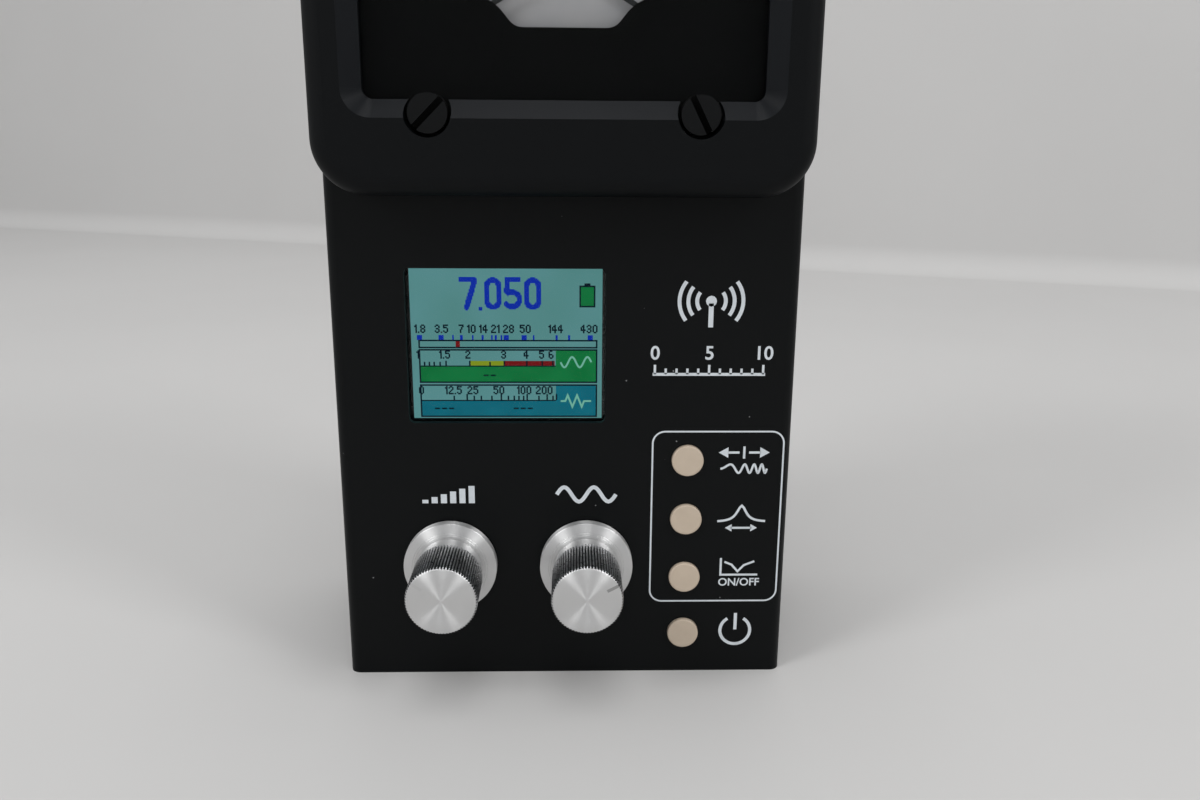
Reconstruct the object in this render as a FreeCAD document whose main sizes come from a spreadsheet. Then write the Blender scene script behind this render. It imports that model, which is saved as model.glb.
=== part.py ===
import FreeCAD, Part
import math
import os
import Sketcher

# Handheld antenna analyzer: a sheet metal case with a cross-needle meter, a colour
# display, two encoder knobs, four keys and two coaxial jacks on top.
# Frame: origin at the centre of the case's bottom face, X right, Y back, Z up, millimetres.

V = FreeCAD.Vector
document = FreeCAD.newDocument("antenna_analyzer")
sheet = document.addObject("Spreadsheet::Sheet", "sizes")


class Size:
    """A number and the sheet expression that it comes from."""

    def __init__(self, number, text):
        self.number = number
        self.text = text

    def __add__(self, other):
        return joined(self, "+", other)

    def __radd__(self, other):
        return joined(other, "+", self)

    def __sub__(self, other):
        return joined(self, "-", other)

    def __rsub__(self, other):
        return joined(other, "-", self)

    def __mul__(self, other):
        return joined(self, "*", other)

    def __rmul__(self, other):
        return joined(other, "*", self)

    def __truediv__(self, other):
        return joined(self, "/", other)

    def __neg__(self):
        return joined(0, "-", self)


def sized(value):
    """The value as a Size, also where it is a plain number."""
    return value if isinstance(value, Size) else Size(float(value), repr(float(value)))


def joined(first, sign, second):
    """Two sizes joined by an arithmetic sign."""
    first, second = sized(first), sized(second)
    numbers = {
        "+": lambda: first.number + second.number,
        "-": lambda: first.number - second.number,
        "*": lambda: first.number * second.number,
        "/": lambda: first.number / second.number,
    }
    return Size(numbers[sign](), "(%s %s %s)" % (first.text, sign, second.text))


def cosine(degrees):
    degrees = sized(degrees)
    return Size(math.cos(math.radians(degrees.number)), "cos(%s)" % degrees.text)


def sine(degrees):
    degrees = sized(degrees)
    return Size(math.sin(math.radians(degrees.number)), "sin(%s)" % degrees.text)


sheet_rows = []


def size(alias, number, words):
    """Writes one driving dimension into the sheet and returns it."""
    row = len(sheet_rows) + 1
    sheet.set("A%d" % row, alias)
    sheet.set("B%d" % row, str(number))
    sheet.set("C%d" % row, words)
    sheet.setAlias("B%d" % row, alias)
    sheet_rows.append(alias)
    return Size(float(number), "sizes.%s" % alias)


# Case and cover
case_width = size("case_width", 85.0, "outer width of the case")
case_depth = size("case_depth", 46.0, "panel face to the back of the cover")
case_height = size("case_height", 190.0, "outer height of the case")
sheet_thickness = size("sheet_thickness", 1.2, "aluminium sheet of the case")
case_edge_radius = size("case_edge_radius", 2.0, "outer radius of the bent long edges")
cover_thickness = size("cover_thickness", 1.5, "rear cover plate")
cover_corner_radius = size("cover_corner_radius", 1.2, "corners of the cover")
tab_size = size("tab_size", 11.0, "square screw tabs in the rear corners")
tab_screw_inset = size("tab_screw_inset", 6.0, "cover screw axis in from the case's outside")
screw_diameter = size("screw_diameter", 3.0, "M3 screws and studs")
screw_fit = size("screw_fit", 0.1, "diameter clearance round a screw in its thread")
screw_clearance = size("screw_clearance", 0.4, "diameter clearance of a screw's free hole")
screw_head_diameter = size("screw_head_diameter", 5.6, "pan head")
screw_head_height = size("screw_head_height", 1.9, "pan head")
screw_head_round = size("screw_head_round", 0.9, "rounding of the pan head's top edge")
screw_tail = size("screw_tail", 2.0, "screw beyond the sheets that it holds")
nut_across_flats = size("nut_across_flats", 5.5, "M3 nut and hexagonal spacer")
nut_thickness = size("nut_thickness", 2.4, "M3 nut")
part_gap = size("part_gap", 0.1, "gap between pieces that are set in one another")
running_gap = size("running_gap", 0.05, "radial gap of what turns or slides")

# Cross-needle meter
bezel_bottom = size("bezel_bottom", 93.1, "lower edge of the meter bezel")
bezel_top_gap = size("bezel_top_gap", 4.0, "bezel's upper edge below the top of the case")
bezel_proud = size("bezel_proud", 11.0, "bezel in front of the panel")
bezel_corner_radius = size("bezel_corner_radius", 9.3, "outer corners seen from the front")
bezel_edge_radius = size("bezel_edge_radius", 3.2, "rounding of the front edge")
bezel_front_wall = size("bezel_front_wall", 4.0, "front wall of the bezel")
bezel_side_wall = size("bezel_side_wall", 2.2, "side walls of the bezel")
bezel_side_step = size("bezel_side_step", 0.5, "bezel's sides in from the case's sides")
bezel_border = size("bezel_border", 8.9, "bezel left and right of the meter opening")
window_bottom = size("window_bottom", 108.65, "lower edge of the meter opening")
window_top = size("window_top", 171.0, "upper edge of the meter opening")
window_corner_radius = size("window_corner_radius", 1.75, "corners of the meter opening")
window_band = size("window_band", 3.0, "sloped band round the meter opening")
pane_thickness = size("pane_thickness", 1.5, "clear pane of the meter")
pane_lap = size("pane_lap", 5.5, "pane and cup beyond the opening, each side")
mask_thickness = size("mask_thickness", 0.6, "black mask over the needle pivots")
mask_face = size("mask_face", 4.6, "mask's face in front of the panel")
valley_height = size("valley_height", 120.25, "mask's edge between the pivots")
valley_width = size("valley_width", 14.0, "flat part of that edge")
valley_radius = size("valley_radius", 5.0, "hollow rounding at its ends")
hump_radius = size("hump_radius", 8.0, "round shoulder of the mask")
mask_slope = size("mask_slope", 45.0, "degrees of the slope between the two")
mask_slope_length = size("mask_slope_length", 5.4, "straight part of that slope")
dial_face = size("dial_face", 1.5, "dial's face in front of the panel")
dial_thickness = size("dial_thickness", 0.8, "dial plate")
cup_wall = size("cup_wall", 2.0, "walls of the meter cup")
cup_floor_depth = size("cup_floor_depth", 15.3, "inside floor of the cup behind the panel's face")
cup_flange_thickness = size("cup_flange_thickness", 1.2, "flange that the bezel clamps")
dial_post_diameter = size("dial_post_diameter", 4.0, "posts that carry the dial")
stud_boss_diameter = size("stud_boss_diameter", 6.0, "bosses in the bezel's corners")
stud_boss_inset = size("stud_boss_inset", 3.5, "stud axis in from the bezel's inner walls")
stud_length = size("stud_length", 10.0, "meter studs")
stud_tail = size("stud_tail", 1.2, "stud beyond its nut")

# Needle movements
pivot_x = size("pivot_x", 22.3, "needle pivots left and right of the middle")
pivot_height = size("pivot_height", 118.0, "needle pivots above the base")
needle_length = size("needle_length", 47.0, "pivot to the tip of a needle")
needle_root = size("needle_root", 1.0, "needle's width at its hub")
needle_tip = size("needle_tip", 0.45, "needle's width at its tip")
needle_thickness = size("needle_thickness", 0.4, "needle blade")
needle_tail = size("needle_tail", 7.0, "balance arm behind the pivot")
needle_hub_diameter = size("needle_hub_diameter", 3.6, "hub of a needle")
needle_hub_gap = size("needle_hub_gap", 0.2, "radial gap of the hub in the dial")
needle_rest_angle = size("needle_rest_angle", 30.0, "degrees above level at zero")
needle_travel = size("needle_travel", 60.0, "degrees from zero to full scale")
left_needle_face = size("left_needle_face", 3.4, "left needle's face in front of the panel")
right_needle_face = size("right_needle_face", 2.6, "right needle's face in front of the panel")
staff_diameter = size("staff_diameter", 0.9, "pivot staff of a needle")
coil_length = size("coil_length", 12.6, "moving coil along its axis")
coil_width = size("coil_width", 13.6, "moving coil across its axis")
coil_thickness = size("coil_thickness", 1.2, "winding")
coil_band = size("coil_band", 3.0, "width of the coil's band")
coil_start = size("coil_start", 1.0, "front of the coil behind the panel's face")
bridge_thickness = size("bridge_thickness", 1.0, "pivot bridges")
bridge_width = size("bridge_width", 4.0, "pivot bridges")
bridge_gap = size("bridge_gap", 0.4, "bridge to the coil's end")
magnet_diameter = size("magnet_diameter", 9.6, "magnet core in the coil")
magnet_length = size("magnet_length", 8.0, "magnet core")
yoke_inner_diameter = size("yoke_inner_diameter", 15.2, "iron ring round the coil")
yoke_outer_diameter = size("yoke_outer_diameter", 21.0, "iron ring round the coil")
yoke_length = size("yoke_length", 9.0, "iron ring along its axis")
yoke_lug_width = size("yoke_lug_width", 5.0, "lugs that hold the magnet")
adjuster_x = size("adjuster_x", 22.3, "zero adjusters left and right of the middle")
adjuster_drop = size("adjuster_drop", 2.15, "zero adjusters below the meter opening")
adjuster_diameter = size("adjuster_diameter", 6.5, "head of a zero adjuster")
adjuster_hole = size("adjuster_hole", 7.8, "recess in the bezel round it")
adjuster_sink = size("adjuster_sink", 0.9, "head below the bezel's face")
adjuster_neck = size("adjuster_neck", 4.0, "neck in the pane")
adjuster_slot = size("adjuster_slot", 1.1, "screwdriver slot")
adjuster_slot_depth = size("adjuster_slot_depth", 1.3, "screwdriver slot")
left_slot_angle = size("left_slot_angle", 45.0, "left adjuster's slot above level, degrees")
right_slot_angle = size("right_slot_angle", 117.0, "right adjuster's slot above level, degrees")
adjuster_pin_offset = size("adjuster_pin_offset", 1.2, "crank pin off the adjuster's axis")
adjuster_pin_diameter = size("adjuster_pin_diameter", 0.9, "crank pin")

# Colour display
screen_x = size("screen_x", -10.8, "centre of the picture, across")
screen_height = size("screen_height", 65.65, "centre of the picture above the base")
screen_cut_width = size("screen_cut_width", 36.2, "panel opening")
screen_cut_height = size("screen_cut_height", 28.7, "panel opening")
screen_cut_radius = size("screen_cut_radius", 1.0, "corners of the panel opening")
screen_pane_lap = size("screen_pane_lap", 3.0, "clear pane beyond the opening, each side")
screen_pane_thickness = size("screen_pane_thickness", 1.0, "clear pane behind the panel")
screen_module_width = size("screen_module_width", 46.7, "display module")
screen_module_height = size("screen_module_height", 34.7, "display module")
screen_glass_thickness = size("screen_glass_thickness", 1.8, "liquid crystal glass")
screen_frame_wall = size("screen_frame_wall", 1.2, "frame round the liquid crystal glass")

# Control board, keys and encoders
board_thickness = size("board_thickness", 1.6, "circuit boards")
board_depth = size("board_depth", 7.7, "front of the control board behind the panel's face")
board_side_gap = size("board_side_gap", 3.2, "control board to the case's inside")
board_above_screen = size("board_above_screen", 7.0, "control board above the display module")
board_screw_inset = size("board_screw_inset", 3.8, "spacers in from the board's edges")
board_screw_reach = size("board_screw_reach", 5.3, "board screw in its spacer")
knob_middle_x = size("knob_middle_x", -9.03, "midway between the knobs")
knob_pitch = size("knob_pitch", 25.88, "knob to knob")
knob_height = size("knob_height", 23.3, "knobs above the base")
skirt_diameter = size("skirt_diameter", 17.76, "knob skirt")
skirt_rim = size("skirt_rim", 1.3, "straight side of the skirt")
skirt_gap = size("skirt_gap", 0.4, "knob in front of the panel")
skirt_slope_diameter = size("skirt_slope_diameter", 13.4, "inner end of the skirt's slope")
skirt_slope_rise = size("skirt_slope_rise", 1.1, "slope of the skirt")
knob_groove_depth = size("knob_groove_depth", 0.35, "line between slope and neck")
knob_neck_diameter = size("knob_neck_diameter", 12.4, "smooth neck")
knob_neck_length = size("knob_neck_length", 3.9, "smooth neck")
knob_cap_diameter = size("knob_cap_diameter", 12.9, "knurled part of the knob")
knob_length = size("knob_length", 16.5, "knob from back to cap")
knob_chamfer = size("knob_chamfer", 0.45, "cap's edge")
knob_bore_depth = size("knob_bore_depth", 12.0, "shaft hole in the knob")
knob_bore_gap = size("knob_bore_gap", 0.025, "radial gap of the shaft in the knob")
knob_recess_diameter = size("knob_recess_diameter", 11.6, "hollow behind the skirt, round the nut")
knob_recess_depth = size("knob_recess_depth", 3.2, "hollow behind the skirt")
knurl_count = size("knurl_count", 36, "grooves round the knob")
knurl_depth = size("knurl_depth", 0.25, "knurl grooves")
grub_diameter = size("grub_diameter", 2.6, "grub screw of a knob")
grub_length = size("grub_length", 2.9, "grub screw of a knob")
shaft_diameter = size("shaft_diameter", 6.0, "encoder shaft")
shaft_length = size("shaft_length", 12.0, "encoder shaft in front of the panel")
bushing_diameter = size("bushing_diameter", 7.0, "threaded bushing")
bushing_length = size("bushing_length", 3.4, "bushing in front of the panel")
encoder_nut_flats = size("encoder_nut_flats", 9.6, "encoder nut")
encoder_nut_thickness = size("encoder_nut_thickness", 1.6, "encoder nut")
washer_diameter = size("washer_diameter", 10.6, "washer under the nut")
washer_thickness = size("washer_thickness", 0.5, "washer under the nut")
encoder_width = size("encoder_width", 12.0, "encoder housing")
encoder_back_wall = size("encoder_back_wall", 1.2, "encoder housing behind the shaft")
key_x = size("key_x", 22.92, "keys, across")
power_height = size("power_height", 8.44, "power key above the base")
graph_height = size("graph_height", 20.29, "graph key above the base")
bandwidth_height = size("bandwidth_height", 32.23, "bandwidth key above the base")
sweep_height = size("sweep_height", 43.99, "sweep key above the base")
key_diameter = size("key_diameter", 6.0, "key cap")
key_hole_gap = size("key_hole_gap", 0.1, "radial gap round a key cap")
key_proud = size("key_proud", 0.8, "key cap in front of the panel")
key_edge_radius = size("key_edge_radius", 0.3, "rounded edge of a key cap")
key_flange_diameter = size("key_flange_diameter", 7.8, "flange that keeps a key in")
key_flange_thickness = size("key_flange_thickness", 0.8, "flange that keeps a key in")
key_stem_diameter = size("key_stem_diameter", 3.4, "stem on the switch")
key_travel = size("key_travel", 0.5, "travel of a key")
switch_width = size("switch_width", 6.2, "key switch")
switch_height = size("switch_height", 3.4, "key switch on its board")
switch_plunger = size("switch_plunger", 0.8, "plunger in front of the switch's case")

# Radio board and jacks
rf_board_depth = size("rf_board_depth", 21.0, "front of the radio board behind the panel's face")
rf_board_width = size("rf_board_width", 70.0, "radio board")
rf_board_top_gap = size("rf_board_top_gap", 8.0, "radio board below the case's top")
rf_board_length = size("rf_board_length", 78.0, "radio board")
rf_post_diameter = size("rf_post_diameter", 6.0, "posts between cup and radio board")
rf_post_inset = size("rf_post_inset", 6.0, "posts in from the cup's walls")
shield_width = size("shield_width", 56.0, "screening can")
shield_length = size("shield_length", 48.0, "screening can")
shield_height = size("shield_height", 6.0, "screening can")
shield_wall = size("shield_wall", 0.5, "screening can")
jack_x = size("jack_x", 20.5, "coaxial jacks left and right of the middle")
jack_y = size("jack_y", 6.5, "jacks behind the middle of the case")
jack_flange_width = size("jack_flange_width", 25.4, "square flange")
jack_flange_thickness = size("jack_flange_thickness", 1.7, "square flange")
jack_flange_radius = size("jack_flange_radius", 2.0, "corners of the flange")
jack_screw_pitch = size("jack_screw_pitch", 18.2, "flange screws")
jack_thread_diameter = size("jack_thread_diameter", 15.875, "five-eighths inch thread")
jack_tail_diameter = size("jack_tail_diameter", 11.0, "jack's tail through the top")
jack_tail_length = size("jack_tail_length", 5.0, "tail below the flange")
jack_tail_bore = size("jack_tail_bore", 7.0, "bore of the tail")
uhf_length = size("uhf_length", 16.5, "first jack in front of its flange")
uhf_bore = size("uhf_bore", 12.4, "first jack's mouth")
uhf_insulator_sink = size("uhf_insulator_sink", 1.2, "insulator below the mouth")
uhf_contact_outer = size("uhf_contact_outer", 5.6, "centre contact")
uhf_contact_bore = size("uhf_contact_bore", 4.0, "hole for the plug's pin")
uhf_contact_depth = size("uhf_contact_depth", 12.0, "depth of that hole")
n_length = size("n_length", 17.5, "second jack in front of its flange")
n_bore = size("n_bore", 9.2, "second jack's mouth")
n_insulator_sink = size("n_insulator_sink", 8.5, "insulator below the mouth")
n_contact_outer = size("n_contact_outer", 3.05, "centre contact")
n_contact_bore = size("n_contact_bore", 1.65, "hole for the plug's pin")
n_contact_sink = size("n_contact_sink", 4.6, "contact below the mouth")
n_contact_depth = size("n_contact_depth", 6.0, "depth of the contact's hole")
n_neck_diameter = size("n_neck_diameter", 12.7, "smooth neck below the thread")
n_neck_length = size("n_neck_length", 5.2, "smooth neck below the thread")
contact_tail_diameter = size("contact_tail_diameter", 2.4, "solder tail")
contact_tail_length = size("contact_tail_length", 4.0, "solder tail below the insulator")
dc_jack_diameter = size("dc_jack_diameter", 8.0, "threaded barrel of the power jack")
dc_jack_bore = size("dc_jack_bore", 5.5, "mouth of the power jack")
dc_jack_pin = size("dc_jack_pin", 2.1, "pin of the power jack")
dc_jack_bore_depth = size("dc_jack_bore_depth", 9.0, "depth of the power jack")
dc_jack_length = size("dc_jack_length", 13.0, "power jack below the top of the case")
dc_jack_proud = size("dc_jack_proud", 3.4, "power jack above the top of the case")
dc_nut_diameter = size("dc_nut_diameter", 11.0, "nut of the power jack, across flats")
dc_nut_thickness = size("dc_nut_thickness", 2.2, "nut of the power jack")
dc_body_diameter = size("dc_body_diameter", 10.4, "body of the power jack under the top")

# Batteries
cell_diameter = size("cell_diameter", 14.3, "AA cell")
cell_length = size("cell_length", 50.0, "AA cell")
cell_nub_diameter = size("cell_nub_diameter", 5.2, "positive end")
cell_nub_length = size("cell_nub_length", 1.0, "positive end")
cell_gap = size("cell_gap", 0.6, "between neighbouring cells")
cell_end_space = size("cell_end_space", 1.9, "contact space at each end of a cell")
holder_wall = size("holder_wall", 1.6, "battery holder")
holder_height = size("holder_height", 13.0, "side walls of the battery holder")
holder_bottom_gap = size("holder_bottom_gap", 6.0, "battery holder above the case's floor")
contact_width = size("contact_width", 9.0, "battery contacts")

# Planes and lines that the pieces share
panel = -case_depth / 2
panel_back = panel + sheet_thickness
case_back = case_depth / 2
cover_front = case_back - cover_thickness
inner_half_width = case_width / 2 - sheet_thickness
bezel_top = case_height - bezel_top_gap
bezel_width = case_width - 2 * bezel_side_step
window_width = bezel_width - 2 * bezel_border
adjuster_height = window_bottom - adjuster_drop
bezel_face = panel - bezel_proud
bezel_wall_back = bezel_face + bezel_front_wall
bezel_centre = (bezel_top + bezel_bottom) / 2
bezel_height = bezel_top - bezel_bottom
window_centre = (window_top + window_bottom) / 2
window_height = window_top - window_bottom
cup_inner_width = window_width + 2 * pane_lap - 2 * cup_wall
cup_inner_height = window_height + 2 * pane_lap - 2 * cup_wall
cup_floor_front = panel + cup_floor_depth
cup_floor_back = cup_floor_front + cup_wall
dial_front = panel - dial_face
dial_back = dial_front + dial_thickness
mask_front = panel - mask_face
mask_back = mask_front + mask_thickness
stud_x = bezel_width / 2 - bezel_side_wall - stud_boss_inset
stud_heights = [
    bezel_bottom + bezel_side_wall + stud_boss_inset,
    bezel_top - bezel_side_wall - stud_boss_inset,
]
yoke_middle_radius = (yoke_inner_diameter + yoke_outer_diameter) / 4
coil_front = panel + coil_start
coil_back = coil_front + coil_length
coil_centre = coil_front + coil_length / 2
yoke_front = coil_centre - yoke_length / 2
yoke_back = coil_centre + yoke_length / 2
front_bridge_back = coil_front - bridge_gap
rear_bridge_front = coil_back + bridge_gap
board_front = panel + board_depth
board_back = board_front + board_thickness
board_half_width = inner_half_width - board_side_gap
board_bottom = sheet_thickness + board_side_gap
board_top = screen_height + screen_module_height / 2 + board_above_screen
key_heights = [
    ("power_button", power_height),
    ("graph_button", graph_height),
    ("bandwidth_button", bandwidth_height),
    ("sweep_button", sweep_height),
]
knob_places = [
    ("band", knob_middle_x - knob_pitch / 2),
    ("frequency", knob_middle_x + knob_pitch / 2),
]
washer_front = panel - washer_thickness
encoder_nut_front = washer_front - encoder_nut_thickness
knob_back = panel - skirt_gap
rf_board_front = panel + rf_board_depth
rf_board_back = rf_board_front + board_thickness
rf_board_top = case_height - rf_board_top_gap
jack_flange_top = case_height + jack_flange_thickness
jack_tail_low = case_height - jack_tail_length
jack_bore_step = case_height + jack_flange_thickness / 2
jack_places = [("uhf", -jack_x), ("n", jack_x)]
holder_back = cover_front
cell_axis = holder_back - holder_wall - cell_diameter / 2
cell_pitch = cell_diameter + cell_gap
cell_columns = [-1, 0, 1]
cell_rows = [0, 1]
cell_bay = cell_length + cell_nub_length + 2 * cell_end_space
holder_bottom = sheet_thickness + holder_bottom_gap
holder_width = len(cell_columns) * cell_pitch + cell_gap + 2 * holder_wall
holder_length = len(cell_rows) * (cell_bay + holder_wall) + holder_wall

document.recompute()
sub_parts = []


def place(thing, x=0, y=0, z=0, rotation=None):
    """Binds a sub-part's position to the sheet, after an optional fixed rotation."""
    if rotation is not None:
        thing.Placement = FreeCAD.Placement(V(0, 0, 0), rotation)
    for axis, value in (("x", x), ("y", y), ("z", z)):
        thing.setExpression("Placement.Base.%s" % axis, sized(value).text)


def new_body(label):
    body = document.addObject("PartDesign::Body", label)
    body.Label = label
    return body


def keep(thing):
    """Marks an object as a sub-part that gets a file of its own."""
    sub_parts.append(thing)
    return thing


def new_sketch(body, role, offset=0):
    """A sketch on one of the body's own origin planes, moved along its normal."""
    sketch = body.newObject("Sketcher::SketchObject", "sketch")
    plane = next(one for one in body.Origin.OriginFeatures if one.Role == role)
    sketch.AttachmentSupport = [(plane, "")]
    sketch.MapMode = "FlatFace"
    sketch.setExpression("AttachmentOffset.Base.z", sized(offset).text)
    return sketch


def bind(sketch, constraint, value):
    """Adds a dimension to a sketch and binds it to the sheet."""
    number = sketch.addConstraint(constraint)
    name = "size_%d" % number
    sketch.renameConstraint(number, name)
    sketch.setExpression("Constraints.%s" % name, value.text)


def fix_point(sketch, geometry, end, point):
    for kind, value in (("DistanceX", point[0]), ("DistanceY", point[1])):
        value = sized(value)
        bind(sketch, Sketcher.Constraint(kind, -1, 1, geometry, end, value.number), value)


def draw_path(sketch, points, radii=None):
    """A closed outline. A radius at a point's index makes the stretch after it an arc."""
    radii = radii or {}
    count = len(points)
    start = sketch.GeometryCount
    for index, point in enumerate(points):
        a = V(sized(point[0]).number, sized(point[1]).number, 0)
        following = points[(index + 1) % count]
        b = V(sized(following[0]).number, sized(following[1]).number, 0)
        if index in radii:
            sketch.addGeometry(arc_between(a, b, radii[index]), False)
        else:
            sketch.addGeometry(Part.LineSegment(a, b), False)
    for index in range(count):
        here = start + index
        after = start + (index + 1) % count
        ends = arc_ends(radii, index)
        next_ends = arc_ends(radii, (index + 1) % count)
        sketch.addConstraint(Sketcher.Constraint("Coincident", here, ends[1], after, next_ends[0]))
        fix_point(sketch, here, ends[0], points[index])
        if index in radii:
            radius = sized(radii[index][0])
            bind(sketch, Sketcher.Constraint("Radius", here, radius.number), radius)


def arc_ends(radii, index):
    """Start and end point numbers: an arc is stored counter-clockwise."""
    clockwise = index in radii and not radii[index][1]
    return (2, 1) if clockwise else (1, 2)


def arc_between(a, b, turn):
    """The short arc from a to b, with its radius and whether it runs counter-clockwise."""
    radius = sized(turn[0]).number
    chord = b - a
    height = math.sqrt(max(radius ** 2 - (chord.Length / 2) ** 2, 0))
    side = V(-chord.y, chord.x, 0).normalize() * (height if turn[1] else -height)
    centre = (a + b) * 0.5 + side
    first, last = (a, b) if turn[1] else (b, a)
    angles = [math.atan2(one.y - centre.y, one.x - centre.x) for one in (first, last)]
    if angles[1] < angles[0]:
        angles[1] += 2 * math.pi
    circle = Part.Circle(centre, V(0, 0, 1), radius)
    return Part.ArcOfCircle(circle, angles[0], angles[1])


def draw_rectangle(sketch, x, z, width, height, radius=None):
    """A rectangle about its centre, with round corners where a radius is given."""
    left, right = x - width / 2, x + width / 2
    low, high = z - height / 2, z + height / 2
    if radius is None:
        draw_path(sketch, [(left, low), (right, low), (right, high), (left, high)])
        return
    r = radius
    points = [
        (left + r, low), (right - r, low), (right, low + r), (right, high - r),
        (right - r, high), (left + r, high), (left, high - r), (left, low + r),
    ]
    draw_path(sketch, points, {1: (r, True), 3: (r, True), 5: (r, True), 7: (r, True)})


def draw_circle(sketch, x, z, diameter):
    x, z, diameter = sized(x), sized(z), sized(diameter)
    circle = Part.Circle(V(x.number, z.number, 0), V(0, 0, 1), diameter.number / 2)
    number = sketch.addGeometry(circle, False)
    fix_point(sketch, number, 3, (x, z))
    bind(sketch, Sketcher.Constraint("Diameter", number, diameter.number), diameter)


def draw_hexagon(sketch, x, z, flats):
    """A regular hexagon with two sides upright, given across its flats."""
    reach = flats / 2 / cosine(30)
    points = [
        (x + reach * cosine(angle), z + reach * sine(angle))
        for angle in (30, 90, 150, 210, 270, 330)
    ]
    draw_path(sketch, points)


# The plane on which front views are drawn looks along Y, so depths are turned over.
FRONT_VIEW = "XZ_Plane"
PLAN_VIEW = "XY_Plane"


def pad_between(body, draw, front, back):
    """Adds material between two Y depths. draw(sketch) draws the front view."""
    sketch = new_sketch(body, FRONT_VIEW, -sized(back))
    draw(sketch)
    pad = body.newObject("PartDesign::Pad", "pad")
    pad.Profile = sketch
    pad.setExpression("Length", (sized(back) - front).text)
    return pad


def pocket_between(body, draw, front, back):
    """Removes material between two Y depths."""
    sketch = new_sketch(body, FRONT_VIEW, -sized(front))
    draw(sketch)
    return cut_pocket(body, sketch, sized(back) - front)


def cut_pocket(body, sketch, length):
    document.recompute()
    before = body.Shape.Volume
    pocket = body.newObject("PartDesign::Pocket", "pocket")
    pocket.Profile = sketch
    pocket.setExpression("Length", length.text)
    document.recompute()
    if body.Shape.Volume >= before:
        raise ValueError("a pocket of %s removed nothing" % body.Label)
    return pocket


def pad_up(body, draw, low, high):
    """Adds material between two heights. draw(sketch) draws the plan view."""
    sketch = new_sketch(body, PLAN_VIEW, low)
    draw(sketch)
    pad = body.newObject("PartDesign::Pad", "pad")
    pad.Profile = sketch
    pad.setExpression("Length", (sized(high) - low).text)
    return pad


def pocket_down(body, draw, low, high):
    """Removes material between two heights, from the higher one down."""
    sketch = new_sketch(body, PLAN_VIEW, high)
    draw(sketch)
    return cut_pocket(body, sketch, sized(high) - low)


def turn_profile(body, role, points, radii=None):
    """Revolves an outline round the sketch's vertical axis."""
    sketch = new_sketch(body, role)
    draw_path(sketch, points, radii)
    turn = body.newObject("PartDesign::Revolution", "revolution")
    turn.Profile = sketch
    turn.ReferenceAxis = (sketch, ["V_Axis"])
    turn.Angle = 360
    return turn


def turned_along_y(label, points, x, z, radii=None):
    """A turned piece on an axis along Y. Points are (radius, Y)."""
    body = new_body(label)
    turn_profile(body, PLAN_VIEW, points, radii)
    place(body, x, 0, z)
    return body


def turned_along_z(label, points, x, y, radii=None):
    """A turned piece on an axis along Z. Points are (radius, Z)."""
    body = new_body(label)
    turn_profile(body, FRONT_VIEW, points, radii)
    place(body, x, y, 0)
    return body


def ring_points(inner, outer, low, high):
    """The half section of a sleeve, from its diameters."""
    inner, outer = sized(inner) / 2, sized(outer) / 2
    return [(inner, low), (outer, low), (outer, high), (inner, high)]


def group(label, pieces):
    """Equal separate solids kept as one sub-part."""
    compound = document.addObject("Part::Compound", label)
    compound.Label = label
    compound.Links = pieces
    return keep(compound)


def edges_where(body, test):
    """Names of the edges of a body's shape that pass a test on their bounds."""
    document.recompute()
    return [
        "Edge%d" % (index + 1)
        for index, edge in enumerate(body.Shape.Edges)
        if test(edge.BoundBox)
    ]


# Bounds of an edge may differ from the size by this much.
TOLERANCE = 0.01


def near(a, b):
    return abs(a - sized(b).number) < TOLERANCE


def dress(body, kind, names, length):
    """A fillet or chamfer on named edges of the body's last feature."""
    tip = body.Tip
    feature = body.newObject("PartDesign::%s" % kind, kind.lower())
    feature.Base = (tip, names)
    feature.setExpression("Radius" if kind == "Fillet" else "Size", sized(length).text)
    return feature


def pan_head_points(base, sign, shank):
    """Half section of a pan-head screw whose head stands on base, towards sign."""
    radius = screw_head_diameter / 2
    top = base + sign * screw_head_height
    shoulder = base + sign * (screw_head_height - screw_head_round)
    tip = base - sign * shank
    points = [
        (0, tip), (screw_diameter / 2, tip), (screw_diameter / 2, base), (radius, base),
        (radius, shoulder), (radius - screw_head_round, top), (0, top),
    ]
    return points, {4: (screw_head_round, sign > 0)}


def corner_screw_places():
    """X and Z of the four cover screws."""
    x = case_width / 2 - tab_screw_inset
    heights = (tab_screw_inset, case_height - tab_screw_inset)
    return [(side * x, height) for side in (-1, 1) for height in heights]


def make_front_case():
    """Panel, sides, floor and top from one bent sheet, open at the back."""
    body = new_body("front_case")
    half = case_width / 2
    r = case_edge_radius
    outline = [
        (-half, cover_front), (-half, panel + r), (r - half, panel),
        (half - r, panel), (half, panel + r), (half, cover_front),
    ]
    pad_up(body, lambda s: draw_path(s, outline, {1: (r, True), 3: (r, True)}), 0, case_height)
    hollow = lambda s: draw_rectangle(
        s, 0, case_height / 2, 2 * inner_half_width, case_height - 2 * sheet_thickness
    )
    pocket_between(body, hollow, panel_back, cover_front)
    tab_reach = tab_size / 2 + sheet_thickness / 2
    for side in (-1, 1):
        for height in (tab_reach, case_height - tab_reach):
            tab = lambda s: draw_rectangle(
                s, side * (case_width / 2 - tab_reach), height, tab_size, tab_size
            )
            pad_between(body, tab, cover_front - sheet_thickness, cover_front)
    cut_case_back_holes(body)
    cut_panel(body)
    cut_case_top(body)
    return keep(body)


def cut_case_back_holes(body):
    def draw(sketch):
        for x, z in corner_screw_places():
            draw_circle(sketch, x, z, screw_diameter + screw_fit)

    pocket_between(body, draw, cover_front - sheet_thickness, cover_front)


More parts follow.
